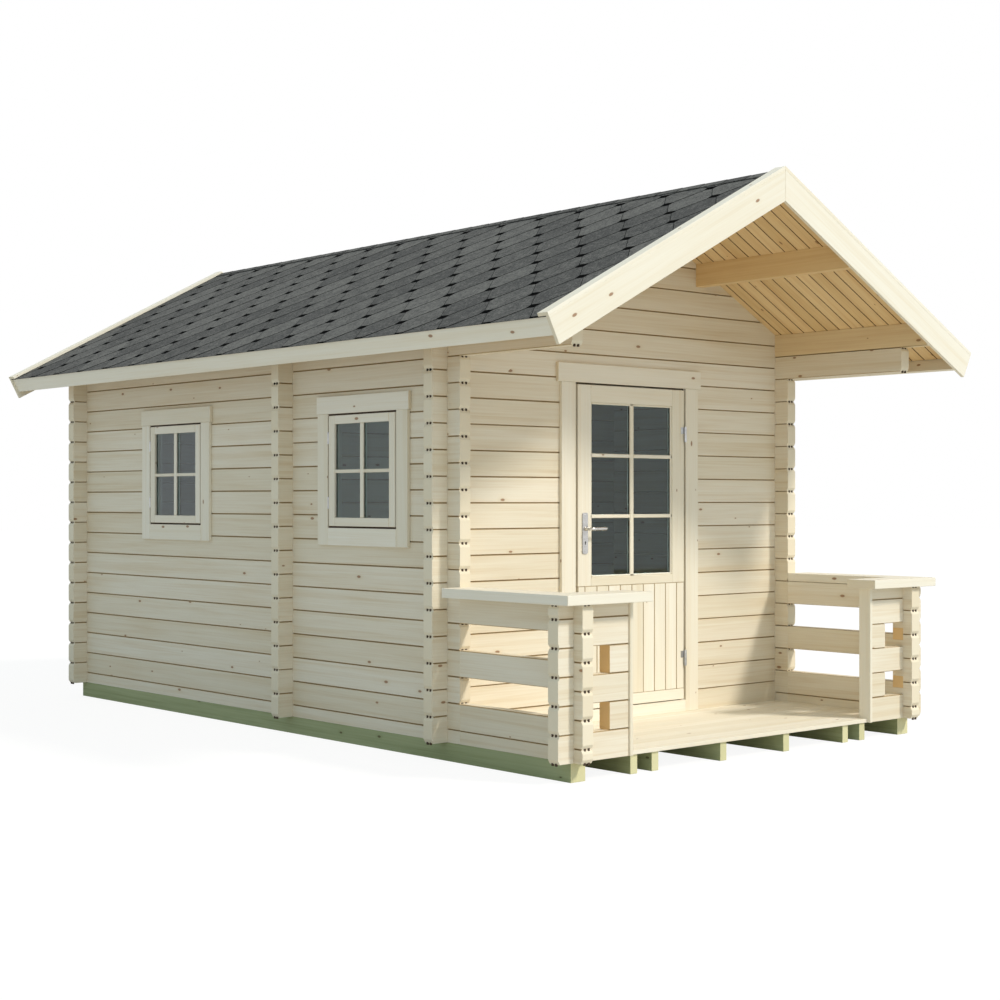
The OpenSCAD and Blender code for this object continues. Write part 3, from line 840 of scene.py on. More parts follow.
@dataclass
class LogWalls:
    """Walls of planed logs: long faces, deep V joints and sawn ends with cut corners."""

    joint_depth: float = 0.006
    joint_half: float = 0.0045
    draw_in: float = 0.0016
    kerf: float = 0.0085
    ease: float = 0.0012
    tongue_at: float = 0.012
    tongue_w: float = 0.011
    tongue_h: float = 0.008
    tongue_out: float = 0.0056
    tongue_in: float = 0.002
    tongue_up: float = 0.6
    near_edge: float = 0.0002
    near_face: float = 0.0004
    near_joint: float = 0.0006
    corner_width: float = 0.02

    CROSS: ClassVar[tuple[str, ...]] = (
        "front_wall_left", "front_wall_right", "front_wall_gable", "rear_wall",
        "partition_left", "partition_right", "partition_gable",
        "porch_return_left", "porch_return_right")
    LONG: ClassVar[tuple[str, ...]] = (
        "left_wall", "right_wall", "porch_rail_left", "porch_rail_right", "top_logs")

    def deepen(self, work: Joinery, across: int) -> None:
        """Draws the bottom of each V joint further in, so that the joint reads as a dark line, and gives the V
        faces a darker finish that paints the shade in the groove.

        Args:
            work: the wall's mesh.
            across: 0 where the wall's thickness is along X, 1 where it is along Y.
        """
        places = [vert.co[across] for vert in work.mesh.verts]
        if across == 0:
            middles = [math.copysign((SITE.half_width + SITE.inside) / 2, places[0])]
            if min(places) < 0 < max(places):
                middles = [-abs(middles[0]), abs(middles[0])]
        else:
            middles = [(min(places) + max(places)) / 2]
        reach = SITE.log_thick / 2 - self.joint_depth
        bottoms = set()
        step = SITE.log_height / 2
        for vert in work.mesh.verts:
            joint = SITE.base + round((vert.co.z - SITE.base) / step) * step
            away = vert.co.z - joint
            for middle in middles:
                offset = vert.co[across] - middle
                if abs(abs(away) - self.joint_half) < self.near_edge:
                    if abs(abs(offset) - SITE.log_thick / 2) < self.near_face:
                        vert.co.z -= math.copysign(self.draw_in, away)
                elif abs(away) < self.near_joint and abs(abs(offset) - reach) < self.near_face:
                    vert.co[across] = middle + math.copysign(reach + self.joint_depth - self.kerf, offset)
                    bottoms.add(vert)
        for face in work.mesh.faces:
            face.normal_update()
            # Faces of the V joints take the darker joint finish: painted shade in the groove.
            if any(v in bottoms for v in face.verts):
                if 0.3 < abs(face.normal.z) < 0.998 and abs(face.normal[1 - across]) < 0.2:
                    face[work.part] = Part.JOINT
            # Cut faces inside the return openings take the warmer, darker end grain: painted shade inside the
            # openings.
            if abs(face.normal.x) > 0.9 and abs(face.calc_center_median().x) < SITE.inside + 0.001:
                face[work.part] = Part.CUT if "return" in work.name else Part.BY_FIBRES

    def notches(self, work: Joinery, across: int) -> list[Vector]:
        """Finds where two log ends meet in a cut corner.

        Args:
            work: the wall's mesh.
            across: 0 where the wall's thickness is along X, 1 where it is along Y.

        Returns:
            The middle of each meeting edge, and the way out of the log end in the next entry.
        """
        found: dict[tuple[int, ...], tuple[Vector, Vector]] = {}
        for face in work.mesh.faces:
            if abs(face.normal[1 - across]) < 0.3 or abs(face.normal.z) < 0.3:
                continue
            for edge in face.edges:
                a, b = edge.verts[0].co, edge.verts[1].co
                height = ((a.z - SITE.base) / (SITE.log_height / 2))
                level = abs(a.z - b.z) < 1e-4 and abs(height - round(height)) < 0.01
                if level and len(edge.link_faces) == 2 and abs(a[across] - b[across]) > self.corner_width:
                    out = Vector((0, 0, 0))
                    out[1 - across] = math.copysign(1, face.normal[1 - across])
                    middle = (a + b) / 2
                    found[tuple(round(v * 500) for v in middle)] = (middle, out)
        return [vector for pair in found.values() for vector in pair]

    def tongues(self, work: Joinery, across: int, places: Sequence[Vector]) -> None:
        """Sets the two tongue slots at each place where log ends meet, as dark blocks that paint the shade
        inside them.

        Args:
            work: the wall's mesh.
            across: 0 where the wall's thickness is along X, 1 where it is along Y.
            places: middles and ways out, in turn.
        """
        along = Axis.X if across else Axis.Y
        for middle, out in zip(places[::2], places[1::2]):
            for sign in (-1, 1):
                low, high = middle.copy(), middle.copy()
                low[across] += sign * self.tongue_at - self.tongue_w / 2
                high[across] += sign * self.tongue_at + self.tongue_w / 2
                low.z -= self.tongue_h
                high.z += self.tongue_h * self.tongue_up
                reach = sorted((middle[1 - across] - self.tongue_in * out[1 - across],
                                middle[1 - across] + self.tongue_out * out[1 - across]))
                low[1 - across], high[1 - across] = reach
                # Dark block: painted shade in the slot.
                work.block(low, high, along, 0.0, part=Part.GAP)

    def build(self) -> Made:
        """Builds and returns every wall, rail and return."""
        made = []
        for node in self.CROSS + self.LONG:
            across = 1 if node in self.CROSS else 0
            along = Axis.X if across else Axis.Y
            work = Joinery(node + "_logs")
            work.carry(node)
            self.deepen(work, across)
            places = self.notches(work, across)
            work.ease_edges(self.ease)
            self.tongues(work, across, places)
            turn = along.basis()
            work.share_out(lambda middle: turn, log_course(0.0 if across else 0.5))
            # The top logs take the warmer, darker face: painted shade under the roof.
            dress = SHADED_TIMBER if node == "top_logs" else TIMBER
            made.append(work.finish(dress, Body.HOUSE, "spruce_logs", [node]))
        return made


@dataclass
class CutTimbers:
    """Single timbers whose shape comes from the frame, with eased edges and their own grain."""

    ease: float = 0.002
    cap_ease: float = 0.003
    lath_ease: float = 0.0015
    beam_room: float = 0.12
    made: Made = field(default_factory=list)

    def by_beam(self, middle: Vector) -> int:
        """Which foundation beam a place is in."""
        return int(math.floor(middle.x / self.beam_room + 40))

    def by_side(self, middle: Vector) -> int:
        """1 on the building's right side, 0 on its left."""
        return 1 if middle.x > 0 else 0

    def by_end(self, middle: Vector) -> int:
        """1 on the building's rear half, 0 on its front half."""
        return 1 if middle.y > 0 else 0

    def timber(self, node: str, basis: Matrix, label: Callable[[Vector], int], slot: str,
               finishes: Sequence[Finish] = BOARDS, ease: Optional[float] = None) -> None:
        """Makes one eased copy.

        Args:
            node: the CAD node.
            basis: the timber's directions.
            label: the timber's label, from a face's middle.
            slot: the record's material slot.
            finishes: long faces and ends.
            ease: width of the eased edges.
        """
        work = Joinery(node + "_timber")
        work.carry(node)
        work.ease_edges(self.ease if ease is None else ease, 2)
        work.share_out(lambda middle: basis, label)
        self.made.append(work.finish(finishes, Body.HOUSE, slot, [node]))

    def build(self) -> Made:
        """Builds and returns the beams, purlins, caps, covers and the roof's edge boards."""
        slot = "planed_spruce"
        self.timber("foundation_beams", Axis.FLAT_Y.basis(), self.by_beam, "treated_timber",
                    (TREATED_FACE, TREATED_END))
        self.timber("purlins", Axis.Y.basis(), self.by_side, "spruce_logs", (SOFFIT_FACE, LOG_END))
        self.timber("side_rail_caps", Axis.FLAT_Y.basis(), self.by_side, slot, ease=self.cap_ease)
        self.timber("return_caps", Axis.FLAT_X.basis(), self.by_side, slot, ease=self.cap_ease)
        self.timber("return_covers", Axis.Z.basis(), self.by_side, slot)
        self.timber("eave_boards", Axis.Y.basis(), self.by_side, slot)
        for side in Side:
            turn = SITE.slope_basis(side)
            self.timber("bargeboards_" + side.word(), Matrix((turn[0], turn[2], turn[1])), self.by_end, slot)
            self.timber("verge_laths_" + side.word(), turn, self.by_end, slot, ease=self.lath_ease)
        return self.made


@dataclass
class Floors:
    """The porch deck and the two rooms' floors, laid board by board."""

    thick: float = 0.020
    deck_board: float = 0.0956
    floor_board: float = 0.0958
    deck_front: float = -2.5275
    deck_mouth: float = 0.931
    gap: float = 0.0006
    ease: float = 0.0012

    def deck(self) -> bpy.types.Object:
        """Lays the deck across the porch, with a narrow front board between the covers."""
        work = Joinery("porch_deck_boards")
        low, high = SITE.base, SITE.base + self.thick
        rim = SITE.porch_front + SITE.log_thick
        work.block((-self.deck_mouth, self.deck_front, low), (self.deck_mouth, rim - self.gap, high),
                   Axis.FLAT_X, self.ease)
        count = round((SITE.front - rim) / self.deck_board)
        step = (SITE.front - rim) / count
        for i in range(count):
            work.block((-SITE.inside, rim + i * step, low),
                       (SITE.inside, rim + (i + 1) * step - self.gap, high), Axis.FLAT_X, self.ease)
        return work.finish(BOARDS, Body.HOUSE, "planed_spruce", ["porch_deck"])

    def rooms(self) -> bpy.types.Object:
        """Lays the floors of both rooms along the building."""
        work = Joinery("room_floor_boards")
        low, high = SITE.base, SITE.base + self.thick
        count = round(2 * SITE.inside / self.floor_board)
        step = 2 * SITE.inside / count
        spans = ((SITE.front + SITE.log_thick, SITE.cross),
                 (SITE.cross + SITE.log_thick, SITE.rear - SITE.log_thick))
        for y0, y1 in spans:
            for i in range(count):
                x0 = -SITE.inside + i * step
                work.block((x0, y0, low), (x0 + step - self.gap, y1, high), Axis.FLAT_Y, self.ease)
        return work.finish(BOARDS, Body.HOUSE, "planed_spruce", ["room_floor"])

    def build(self) -> Made:
        """Builds and returns the deck and the floors."""
        return [self.deck(), self.rooms()]


@dataclass
class RoofDeck:
    """Tongued boards that run from ridge to eave, with V joints seen from below, their eased edges painted
    dark as the shade in the joints.
    """

    count: int = 62
    gap: float = 0.0012
    ease: float = 0.0032
    edge_board: float = 0.020
    eave_set: float = 0.012

    def build(self) -> Made:
        """Lays and returns both slopes."""
        made = []
        start = -SITE.roof_end + self.edge_board
        step = 2 * -start / self.count
        top = SITE.bed
        bottom = top - SITE.board
        foot = SITE.slope - self.eave_set - self.edge_board
        tan = math.tan(SITE.pitch)
        for side in Side:
            work = Joinery(f"roof_boards_{side.word()}_laid")
            for i in range(self.count):
                y0, y1 = start + i * step + self.gap / 2, start + (i + 1) * step - self.gap / 2
                corners = [SITE.on_slope(side, u, y, w)
                           for w in (bottom, top)
                           for u, y in ((-w * tan, y0), (foot, y0), (foot, y1), (-w * tan, y1))]
                # The eased edges take the dark groove finish: painted shade in the V joints.
                work.solid(corners, SITE.slope_basis(side), self.ease, groove=Part.JOINT)
            made.append(work.finish((SOFFIT_FACE, BOARD_END, SOFFIT_GROOVE_SHADE), Body.HOUSE,
                                    "planed_spruce", ["roof_boards_" + side.word()]))
        return made


@dataclass
class Roofing:
    """Bitumen shingles with tapered tabs, laid half a tab over in each row, and capped ridge."""

    row: float = 0.1765
    last_row: float = 1.847
    rows: int = 11
    tab: float = 0.3335
    first_tab: float = -2.446
    flat: float = 0.060
    base_thick: float = 0.0018
    lap: float = 0.0028
    under_share: float = 0.66
    shadow: float = 0.0025
    band: float = 0.036
    band_over: float = 0.010
    cap_half: float = 0.062
    cap_step: float = 0.165
    edge_board: float = 0.020
    lath_width: float = 0.070
    tab_length: float = 1.9
    head_share: float = 0.02
    slot_share: float = 0.5
    band_taper: float = 0.8
    side_play: float = 0.001
    ridge_play: float = 0.012
    eave_play: float = 0.004
    felt_play: float = 0.003
    least_width: float = 0.02
    inset: float = 0.0006
    cap_lap: float = 0.012
    cap_top: float = 0.006
    cap_rises: tuple[float, float] = (0.0046, 0.0026)
    cap_shift: float = 0.0004
    cap_spread: float = 0.002

    def tab_outline(self, grow: float) -> list[tuple[float, float, float]]:
        """One tab's outline about the middle of its foot.

        Args:
            grow: how far it stands out on its sides and its foot.

        Returns:
            Points as distance down the slope, along the row, and share of the lap height.
        """
        half, flat, head = self.tab / 2, self.flat / 2, -self.tab_length * self.row
        return [(head, -half, self.head_share), (-self.row, -half - grow, self.slot_share),
                (grow, -flat - grow, 1.0), (grow, flat + grow, 1.0),
                (-self.row, half + grow, self.slot_share), (head, half, self.head_share)]

    def band_outline(self) -> list[tuple[float, float, float]]:
        """The dark band below one tab's foot, in the same terms as the tab's outline: the felt's printed
        shadow band, drawn wide so that it also paints the shade under the foot.
        """
        wide = self.flat / 2 + self.band_over
        slim = wide * self.band_taper
        rows = ((-self.band, -wide), (self.band, -slim), (self.band, slim), (-self.band, wide))
        return [(u, y, 1 + u / (2 * self.row)) for u, y in rows]

    def lay(self, work: Joinery, side: Side, foot_u: float, middle_y: float, lift: float,
            outline: Sequence[tuple[float, float, float]], part: int) -> None:
        """Lays one tab, its painted shadow rim or its dark band, cut off at the roof's ends, eave and ridge.

        Args:
            work: the mesh.
            side: which slope.
            foot_u: the tab's foot, down the slope.
            middle_y: the tab's middle, along the building.
            lift: extra height at the foot.
            outline: distance down the slope, along the row and share of the lift, point by point.
            part: material of its upper face.
        """
        low = SITE.bed + self.base_thick * 0.5
        limit = SITE.roof_end - self.edge_board - self.side_play
        points = []
        for du, dy, share in outline:
            y = max(-limit, min(limit, middle_y + dy))
            u = min(max(foot_u + du, self.ridge_play), SITE.slope - self.eave_play)
            points.append((u, y, SITE.bed + self.base_thick + lift * share))
        if max(p[1] for p in points) - min(p[1] for p in points) < self.least_width:
            return
        keep: list[tuple[float, float, float]] = []
        for point in points:
            if not keep or (abs(point[0] - keep[-1][0]) + abs(point[1] - keep[-1][1])) > 1e-4:
                keep.append(point)
        if len(keep) < 4:
            return
        top = [SITE.on_slope(side, *p) for p in keep]
        bottom = [SITE.on_slope(side, p[0], p[1], low) for p in keep]
        number = work.grow(SITE.slope_basis(side))
        upper = [work.mesh.verts.new(p) for p in top]
        under = [work.mesh.verts.new(p) for p in bottom]
        faces = [work.mesh.faces.new(upper), work.mesh.faces.new(under[::-1])]
        for i in range(len(keep)):
            j = (i + 1) % len(keep)
            faces.append(work.mesh.faces.new((upper[j], upper[i], under[i], under[j])))
        for face in faces:
            face[work.piece] = number
            face[work.part] = Part.EDGE
        faces[0][work.part] = part
        bmesh.ops.recalc_face_normals(work.mesh, faces=faces)

    def slope(self, side: Side) -> bpy.types.Object:
        """Covers one slope, and returns its shingles."""
        work = Joinery(f"roofing_{side.word()}_shingles")
        tan = math.tan(SITE.pitch)
        ends = (-SITE.roof_end + self.edge_board, SITE.roof_end - self.edge_board)
        foot = SITE.slope - self.felt_play
        corners = [SITE.on_slope(side, u, y, w) for w in (SITE.bed, SITE.bed + self.base_thick)
                   for u, y in ((-w * tan, ends[0]), (foot, ends[0]), (foot, ends[1]), (-w * tan, ends[1]))]
        work.solid(corners, SITE.slope_basis(side), 0.0)
        for row in range(self.rows):
            foot = self.last_row - row * self.row
            shift = 0.0 if row % 2 else self.tab / 2
            for k in range(-2, 18):
                middle = self.first_tab + shift + k * self.tab
                if abs(middle) - self.tab / 2 > SITE.roof_end - self.edge_board:
                    continue
                # Under each tab go a dark rim a little wider than it, painted shadow under its edges, and the
                # dark band below its foot, print and painted shade.
                under = self.lap * self.under_share
                self.lay(work, side, foot, middle, under, self.tab_outline(self.shadow), Part.EDGE)
                self.lay(work, side, foot, middle, under, self.band_outline(), Part.EDGE)
                self.lay(work, side, foot, middle, self.lap, self.tab_outline(-self.inset),
                         Part.BY_FIBRES)
        return work.finish((FELT, FELT_EDGE_AND_SHADE), Body.HOUSE, "bitumen_shingles", ["roofing_" + side.word()])

    def ridge(self) -> bpy.types.Object:
        """Folds short shingles over the ridge, each lapping the next."""
        work = Joinery("ridge_shingle_caps")
        start = -SITE.roof_end + self.lath_width
        count = math.ceil(-2 * start / self.cap_step)
        step = -2 * start / count
        for i in range(count):
            y0, y1 = start + i * step, start + (i + 1) * step + (0.0 if i == count - 1 else self.cap_lap)
            half = self.cap_half - self.cap_shift * i % self.cap_spread
            points = []
            for y, rise in zip((y0, y1), self.cap_rises):
                w = -SITE.lath + rise
                places = ((Side.LEFT, half, w), (Side.LEFT, self.cap_top, w), (Side.RIGHT, self.cap_top, w),
                          (Side.RIGHT, half, w), (Side.RIGHT, half, -SITE.lath), (Side.LEFT, half, -SITE.lath))
                points.append([SITE.on_slope(side, u, y, height) for side, u, height in places])
            number = work.grow(Axis.FLAT_Y.basis())
            rings = [[work.mesh.verts.new(p) for p in ring] for ring in points]
            faces = [work.mesh.faces.new(rings[0]), work.mesh.faces.new(rings[1][::-1])]
            for a in range(6):
                b = (a + 1) % 6
                faces.append(work.mesh.faces.new((rings[0][a], rings[1][a], rings[1][b], rings[0][b])))
            for face in faces:
                face[work.piece] = number
            faces[0][work.part] = Part.EDGE
            bmesh.ops.recalc_face_normals(work.mesh, faces=faces)
        return work.finish((FELT, FELT_EDGE_AND_SHADE), Body.HOUSE, "bitumen_shingles", ["ridge_shingles"])

    def build(self) -> Made:
        """Covers both slopes and the ridge, and returns what was laid."""
        return [self.slope(Side.LEFT), self.slope(Side.RIGHT), self.ridge()]


@dataclass
class Window:
    """A small two by two window in the left wall: lining, trim, sash, bars and hinges."""

    name: str
    middle: float
    height: float = 1.485
    sash_w: float = 0.600
    sash_h: float = 0.610
    sash_t: float = 0.045
    glass_w: float = 0.490
    glass_h: float = 0.512
    lining: float = 0.034
    trim_w: float = 0.098
    trim_t: float = 0.020
    header_over: float = 0.010
    gap: float = 0.004
    play: float = 0.002
    bar_w: float = 0.030
    bar_h: float = 0.019
    bar_t: float = 0.011
    pane: float = 0.016
    stop_lap: float = 0.012
    # Thickness of the thin dark ring that paints the shade in the gap round the sash.
    gap_shade_t: float = 0.002
    rail_gap: float = 0.0004
    trim_joint: float = 0.0005
    trim_ease: float = 0.002
    sash_ease: float = 0.003
    bar_drop: float = 0.003
    hinge_l: float = 0.060
    hinge_r: float = 0.0045
    hinge_in: float = 0.001
    hinge_zs: tuple[float, float] = (0.181, -0.175)

    def box(self, work: Joinery, ys: Sequence[float], zs: Sequence[float], xs: Sequence[float],
            along: Axis, ease: float = 0.0015, part: int = 0) -> None:
        """Adds a block given about the window's middle.

        Args:
            work: the mesh.
            ys: its two sides, along the wall.
            zs: its foot and top.
            xs: its outer and inner faces, as distance from the building's middle.
            along: way of the fibres.
            ease: width of the eased edges.
            part: fixed material of the faces, or 0 to tell long faces from ends.
        """
        work.block((-xs[0], self.middle + ys[0], self.height + zs[0]),
                   (-xs[1], self.middle + ys[1], self.height + zs[1]), along, ease, part=part)

    def ring(self, work: Joinery, outer: Sequence[float], inner: Sequence[float], xs: Sequence[float],
             ease: float = 0.0015, part: int = 0) -> None:
        """Adds two uprights with two rails between them.

        Args:
            work: the mesh.
            outer: half width and half height outside.
            inner: half width and half height of the opening.
            xs: outer and inner faces.
            ease: width of the eased edges.
            part: fixed material of the faces, or 0 to tell long faces from ends.
        """
        (ow, oh), (iw, ih) = outer, inner
        for sign in (-1, 1):
            ys = sorted((sign * iw, sign * ow))
            self.box(work, ys, (-oh, oh), xs, Axis.Z, ease, part)
            zs = sorted((sign * ih, sign * oh))
            self.box(work, (-iw + self.rail_gap, iw - self.rail_gap), zs, xs, Axis.Y, ease, part)

    def frame(self) -> bpy.types.Object:
        """Builds the lining in the wall, its stop and the outer trim."""
        work = Joinery(self.name + "_window_surround")
        half_w, half_h = self.sash_w / 2 + self.lining, self.sash_h / 2 + self.lining
        face = SITE.half_width + self.trim_t - self.sash_t
        clear_w, clear_h = self.sash_w / 2 + self.gap, self.sash_h / 2 + self.gap
        self.ring(work, (half_w, half_h), (clear_w, clear_h), (SITE.half_width - self.trim_joint, face))
        self.ring(work, (half_w, half_h), (self.sash_w / 2 - self.stop_lap, self.sash_h / 2 - self.stop_lap),
                  (face, SITE.inside))
        in_w, in_h = clear_w + self.gap, clear_h + self.gap
        out_w, out_h = clear_w + self.play + self.trim_w, clear_h + self.play + self.trim_w
        # A thin dark ring in the gap round the sash: painted shade in the gap.
        seal = SITE.half_width + self.trim_t / 2
        self.ring(work, (in_w, in_h), (self.sash_w / 2 - self.play, self.sash_h / 2 - self.play),
                  (seal, seal - self.gap_shade_t), 0.0, Part.SEAL)
        xs = (SITE.half_width + self.trim_t, SITE.half_width)
        for sign in (-1, 1):
            self.box(work, sorted((sign * in_w, sign * out_w)), (-out_h, in_h - self.trim_joint), xs,
                     Axis.Z, self.trim_ease)
        self.box(work, (-in_w + self.trim_joint, in_w - self.trim_joint), (-out_h, -in_h), xs,
                 Axis.Y, self.trim_ease)
        self.box(work, (-out_w - self.header_over, out_w + self.header_over), (in_h, out_h), xs,
                 Axis.Y, self.trim_ease)
        return work.finish(JOINERY, Body.HOUSE, "planed_spruce", [self.name + "_window_frame"])

    def sash(self) -> bpy.types.Object:
        """Builds the sash with crossed glazing bars on both faces of the glass."""
        work = Joinery(self.name + "_window_casement")
        out = SITE.half_width + self.trim_t
        xs = (out, out - self.sash_t)
        gw, gh = self.glass_w / 2, self.glass_h / 2
        edge = (self.sash_w / 2 - self.play, self.sash_h / 2 - self.play)
        self.ring(work, edge, (gw, gh), xs, self.sash_ease)
        glass_out = out - self.sash_t / 2 + self.pane / 2
        glass_in = glass_out - self.pane
        for faces in ((glass_out + self.bar_t, glass_out), (glass_in, glass_in - self.bar_t)):
            self.box(work, (-self.bar_w / 2, self.bar_w / 2), (-gh, gh), faces, Axis.Z, self.sash_ease)
            low, high = -self.bar_h / 2 - self.bar_drop, self.bar_h / 2 - self.bar_drop
            for sign in (-1, 1):
                ys = sorted((sign * self.bar_w / 2, sign * gw))
                self.box(work, ys, (low, high), faces, Axis.Y, self.sash_ease)
        return work.finish(BOARDS, Body.HOUSE, "planed_spruce", [self.name + "_window_sash"])

    def hinges(self) -> bpy.types.Object:
        """Adds two slim barrels on the rear edge of the sash."""
        work = Joinery(self.name + "_window_hinges")
        x = -(SITE.half_width + self.trim_t - self.hinge_in)
        y = self.middle + self.sash_w / 2 + self.gap / 2
        for z in (self.height + rise for rise in self.hinge_zs):
            place = Matrix.Translation((x, y, z))
            bmesh.ops.create_cone(work.mesh, cap_ends=True, segments=14, radius1=self.hinge_r,
                                  radius2=self.hinge_r, depth=self.hinge_l, matrix=place)
            for tip in (-1, 1):
                bmesh.ops.create_uvsphere(work.mesh, u_segments=12, v_segments=8, radius=self.hinge_r,
                                          matrix=Matrix.Translation((x, y, z + tip * self.hinge_l / 2)))
        return work.finish((HINGE_STEEL,), Body.HOUSE, "zinc_steel", smooth=40)

    def build(self) -> Made:
        """Builds and returns the surround, the sash and its hinges."""
        return [self.frame(), self.sash(), self.hinges()]


@dataclass
class Doorway:
    """The frame and the trim boards around the front door."""

    trim_in: float = 0.435
    trim_w: float = 0.104
    trim_t: float = 0.020
    header_over: float = 0.024
    header_z: float = 1.963
    header_h: float = 0.102
    floor_top: float = 0.115
    # Where the thin dark strip that paints the shade in the gap round the leaf lies.
    gap_shade_hinge: float = 0.4244
    gap_shade_lock: float = -0.4274
    gap_shade_head: float = 1.9575
    gap_shade_foot: float = 0.190
    gap_shade_t: float = 0.0008
    trim_ease: float = 0.002
    foot_gap: float = 0.0005
    head_gap: float = 0.0006
    jamb_from: float = 0.41
    sill_top: float = 0.19
    head_low: float = 1.955

    def seal(self, work: Joinery) -> None:
        """Lines the gap between the leaf and the trim with a thin dark strip: painted shade in the gap.

        Args:
            work: the mesh of the trim.
        """
        y0, y1 = SITE.front - self.gap_shade_t, SITE.front
        for x0, x1 in ((self.gap_shade_hinge, self.trim_in), (-self.trim_in, self.gap_shade_lock)):
            work.block((x0, y0, self.gap_shade_foot), (x1, y1, self.header_z), Axis.Z, 0.0, part=Part.SEAL)
        work.block((self.gap_shade_lock, y0, self.gap_shade_head), (self.gap_shade_hinge, y1, self.header_z),
                   Axis.X, 0.0, part=Part.SEAL)

    def trim(self) -> bpy.types.Object:
        """Builds the trim boards, with the thin dark strip of painted gap shade behind them."""
        work = Joinery("door_trim_boards")
        y0, y1 = SITE.front - self.trim_t, SITE.front
        out = self.trim_in + self.trim_w
        for x in (-out, self.trim_in):
            work.block((x, y0, self.floor_top + self.foot_gap),
                       (x + self.trim_w, y1, self.header_z - self.head_gap), Axis.Z, self.trim_ease, 2)
        work.block((-out - self.header_over, y0, self.header_z),
                   (out + self.header_over, y1, self.header_z + self.header_h), Axis.X, self.trim_ease, 2)
        self.seal(work)
        return work.finish(JOINERY, Body.HOUSE, "planed_spruce", ["door_trim"])

    def in_jamb(self, place: Vector) -> bool:
        """Whether a place is in one of the frame's uprights."""
        return abs(place.x) > self.jamb_from and self.sill_top < place.z < self.head_low

    def timber_at(self, place: Vector) -> int:
        """Label of the frame's timber at a place: right upright, left upright, head or sill."""
        if self.in_jamb(place):
            return 1 if place.x > 0 else 2
        return 3 if place.z > 1 else 4

    def lining(self) -> bpy.types.Object:
        """Eases the frame's four timbers, each with its own grain."""
        work = Joinery("door_frame_timber")
        work.carry("door_frame")
        work.ease_edges(0.0015)
        up, level = Axis.Z.basis(), Axis.X.basis()
        work.share_out(lambda middle: up if self.in_jamb(middle) else level, self.timber_at)
        return work.finish(BOARDS, Body.HOUSE, "planed_spruce", ["door_frame"])

    def build(self) -> Made:
        """Builds and returns the trim and the frame."""
        return [self.trim(), self.lining()]


@dataclass
class Door:
    """The glazed door leaf: stiles and rails, grooved boards below, glazing bars above."""

    half: float = 0.419
    bottom: float = 0.187
    top: float = 1.952
    outer: float = -1.6275
    thick: float = 0.042
    glass_half: float = 0.322
    glass_low: float = 0.903
    glass_high: float = 1.859
    panel_low: float = 0.248
    panel_high: float = 0.856
    grooves: tuple[float, ...] = (-0.367, -0.276, -0.186, -0.095, -0.005, 0.086, 0.176, 0.266, 0.357)
    groove_ease: float = 0.0032
    bar_w: float = 0.030
    bar_h: float = 0.020
    bar_zs: tuple[float, float] = (1.2355, 1.569)
    pane: float = 0.014
    bead: float = 0.011
    bar_t: float = 0.010
    rail_gap: float = 0.0004
    board_gap: float = 0.0003
    leaf_ease: float = 0.002
    bar_ease: float = 0.003

    def leaf(self) -> bpy.types.Object:
        """Builds the leaf with its rails, stiles, boards, beads and bars."""
        work = Joinery("door_leaf_joinery")
        y0, y1 = self.outer, self.outer + self.thick
        for sign in (-1, 1):
            x0, x1 = sorted((sign * self.glass_half, sign * self.half))
            work.block((x0, y0, self.panel_high + self.rail_gap), (x1, y1, self.top), Axis.Z,
                       self.leaf_ease, 2)
        inner = self.glass_half - self.rail_gap
        for half, low, high in ((inner, self.glass_high, self.top),
                                (inner, self.panel_high + self.rail_gap, self.glass_low),
                                (self.half, self.bottom, self.panel_low - self.rail_gap)):
            work.block((-half, y0, low), (half, y1, high), Axis.X, self.leaf_ease, 2)
        edges = (-self.half,) + self.grooves + (self.half,)
        # Eased edges of the grooved boards take the darker groove finish: painted shade in the grooves.
        for x0, x1 in zip(edges, edges[1:]):
            work.block((x0 + self.board_gap, y0, self.panel_low), (x1 - self.board_gap, y1, self.panel_high),
                       Axis.Z, self.groove_ease, groove=Part.JOINT)
        middle = self.outer + self.thick / 2
        out_glass, in_glass = middle - self.pane / 2, middle + self.pane / 2
        for a, b in ((out_glass - self.bar_t, out_glass), (in_glass, in_glass + self.bar_t)):
            work.block((-self.bar_w / 2, a, self.glass_low), (self.bar_w / 2, b, self.glass_high),
                       Axis.Z, self.bar_ease)
            for z in self.bar_zs:
                for sign in (-1, 1):
                    x0, x1 = sorted((sign * self.bar_w / 2, sign * self.glass_half))
                    work.block((x0, a, z - self.bar_h / 2), (x1, b, z + self.bar_h / 2), Axis.X,
                               self.bar_ease)
            self.beads(work, a, b)
        return work.finish(JOINERY, Body.DOOR, "planed_spruce", ["door_leaf"])

    def beads(self, work: Joinery, a: float, b: float) -> None:
        """Adds the glazing beads around the glass.

        Args:
            work: the mesh.
            a: their outer face.
            b: their inner face, on the glass.
        """
        wide, low, high = self.glass_half, self.glass_low, self.glass_high
        for sign in (-1, 1):
            x0, x1 = sorted((sign * (wide - self.bead), sign * wide))
            work.block((x0, a, low), (x1, b, high), Axis.Z, self.bar_ease)
        inner = wide - self.bead - self.rail_gap
        for z in (low, high - self.bead):
            work.block((-inner, a, z), (inner, b, z + self.bead), Axis.X, self.bar_ease)

    def build(self) -> Made:
        """Builds and returns the leaf."""
        return [self.leaf()]


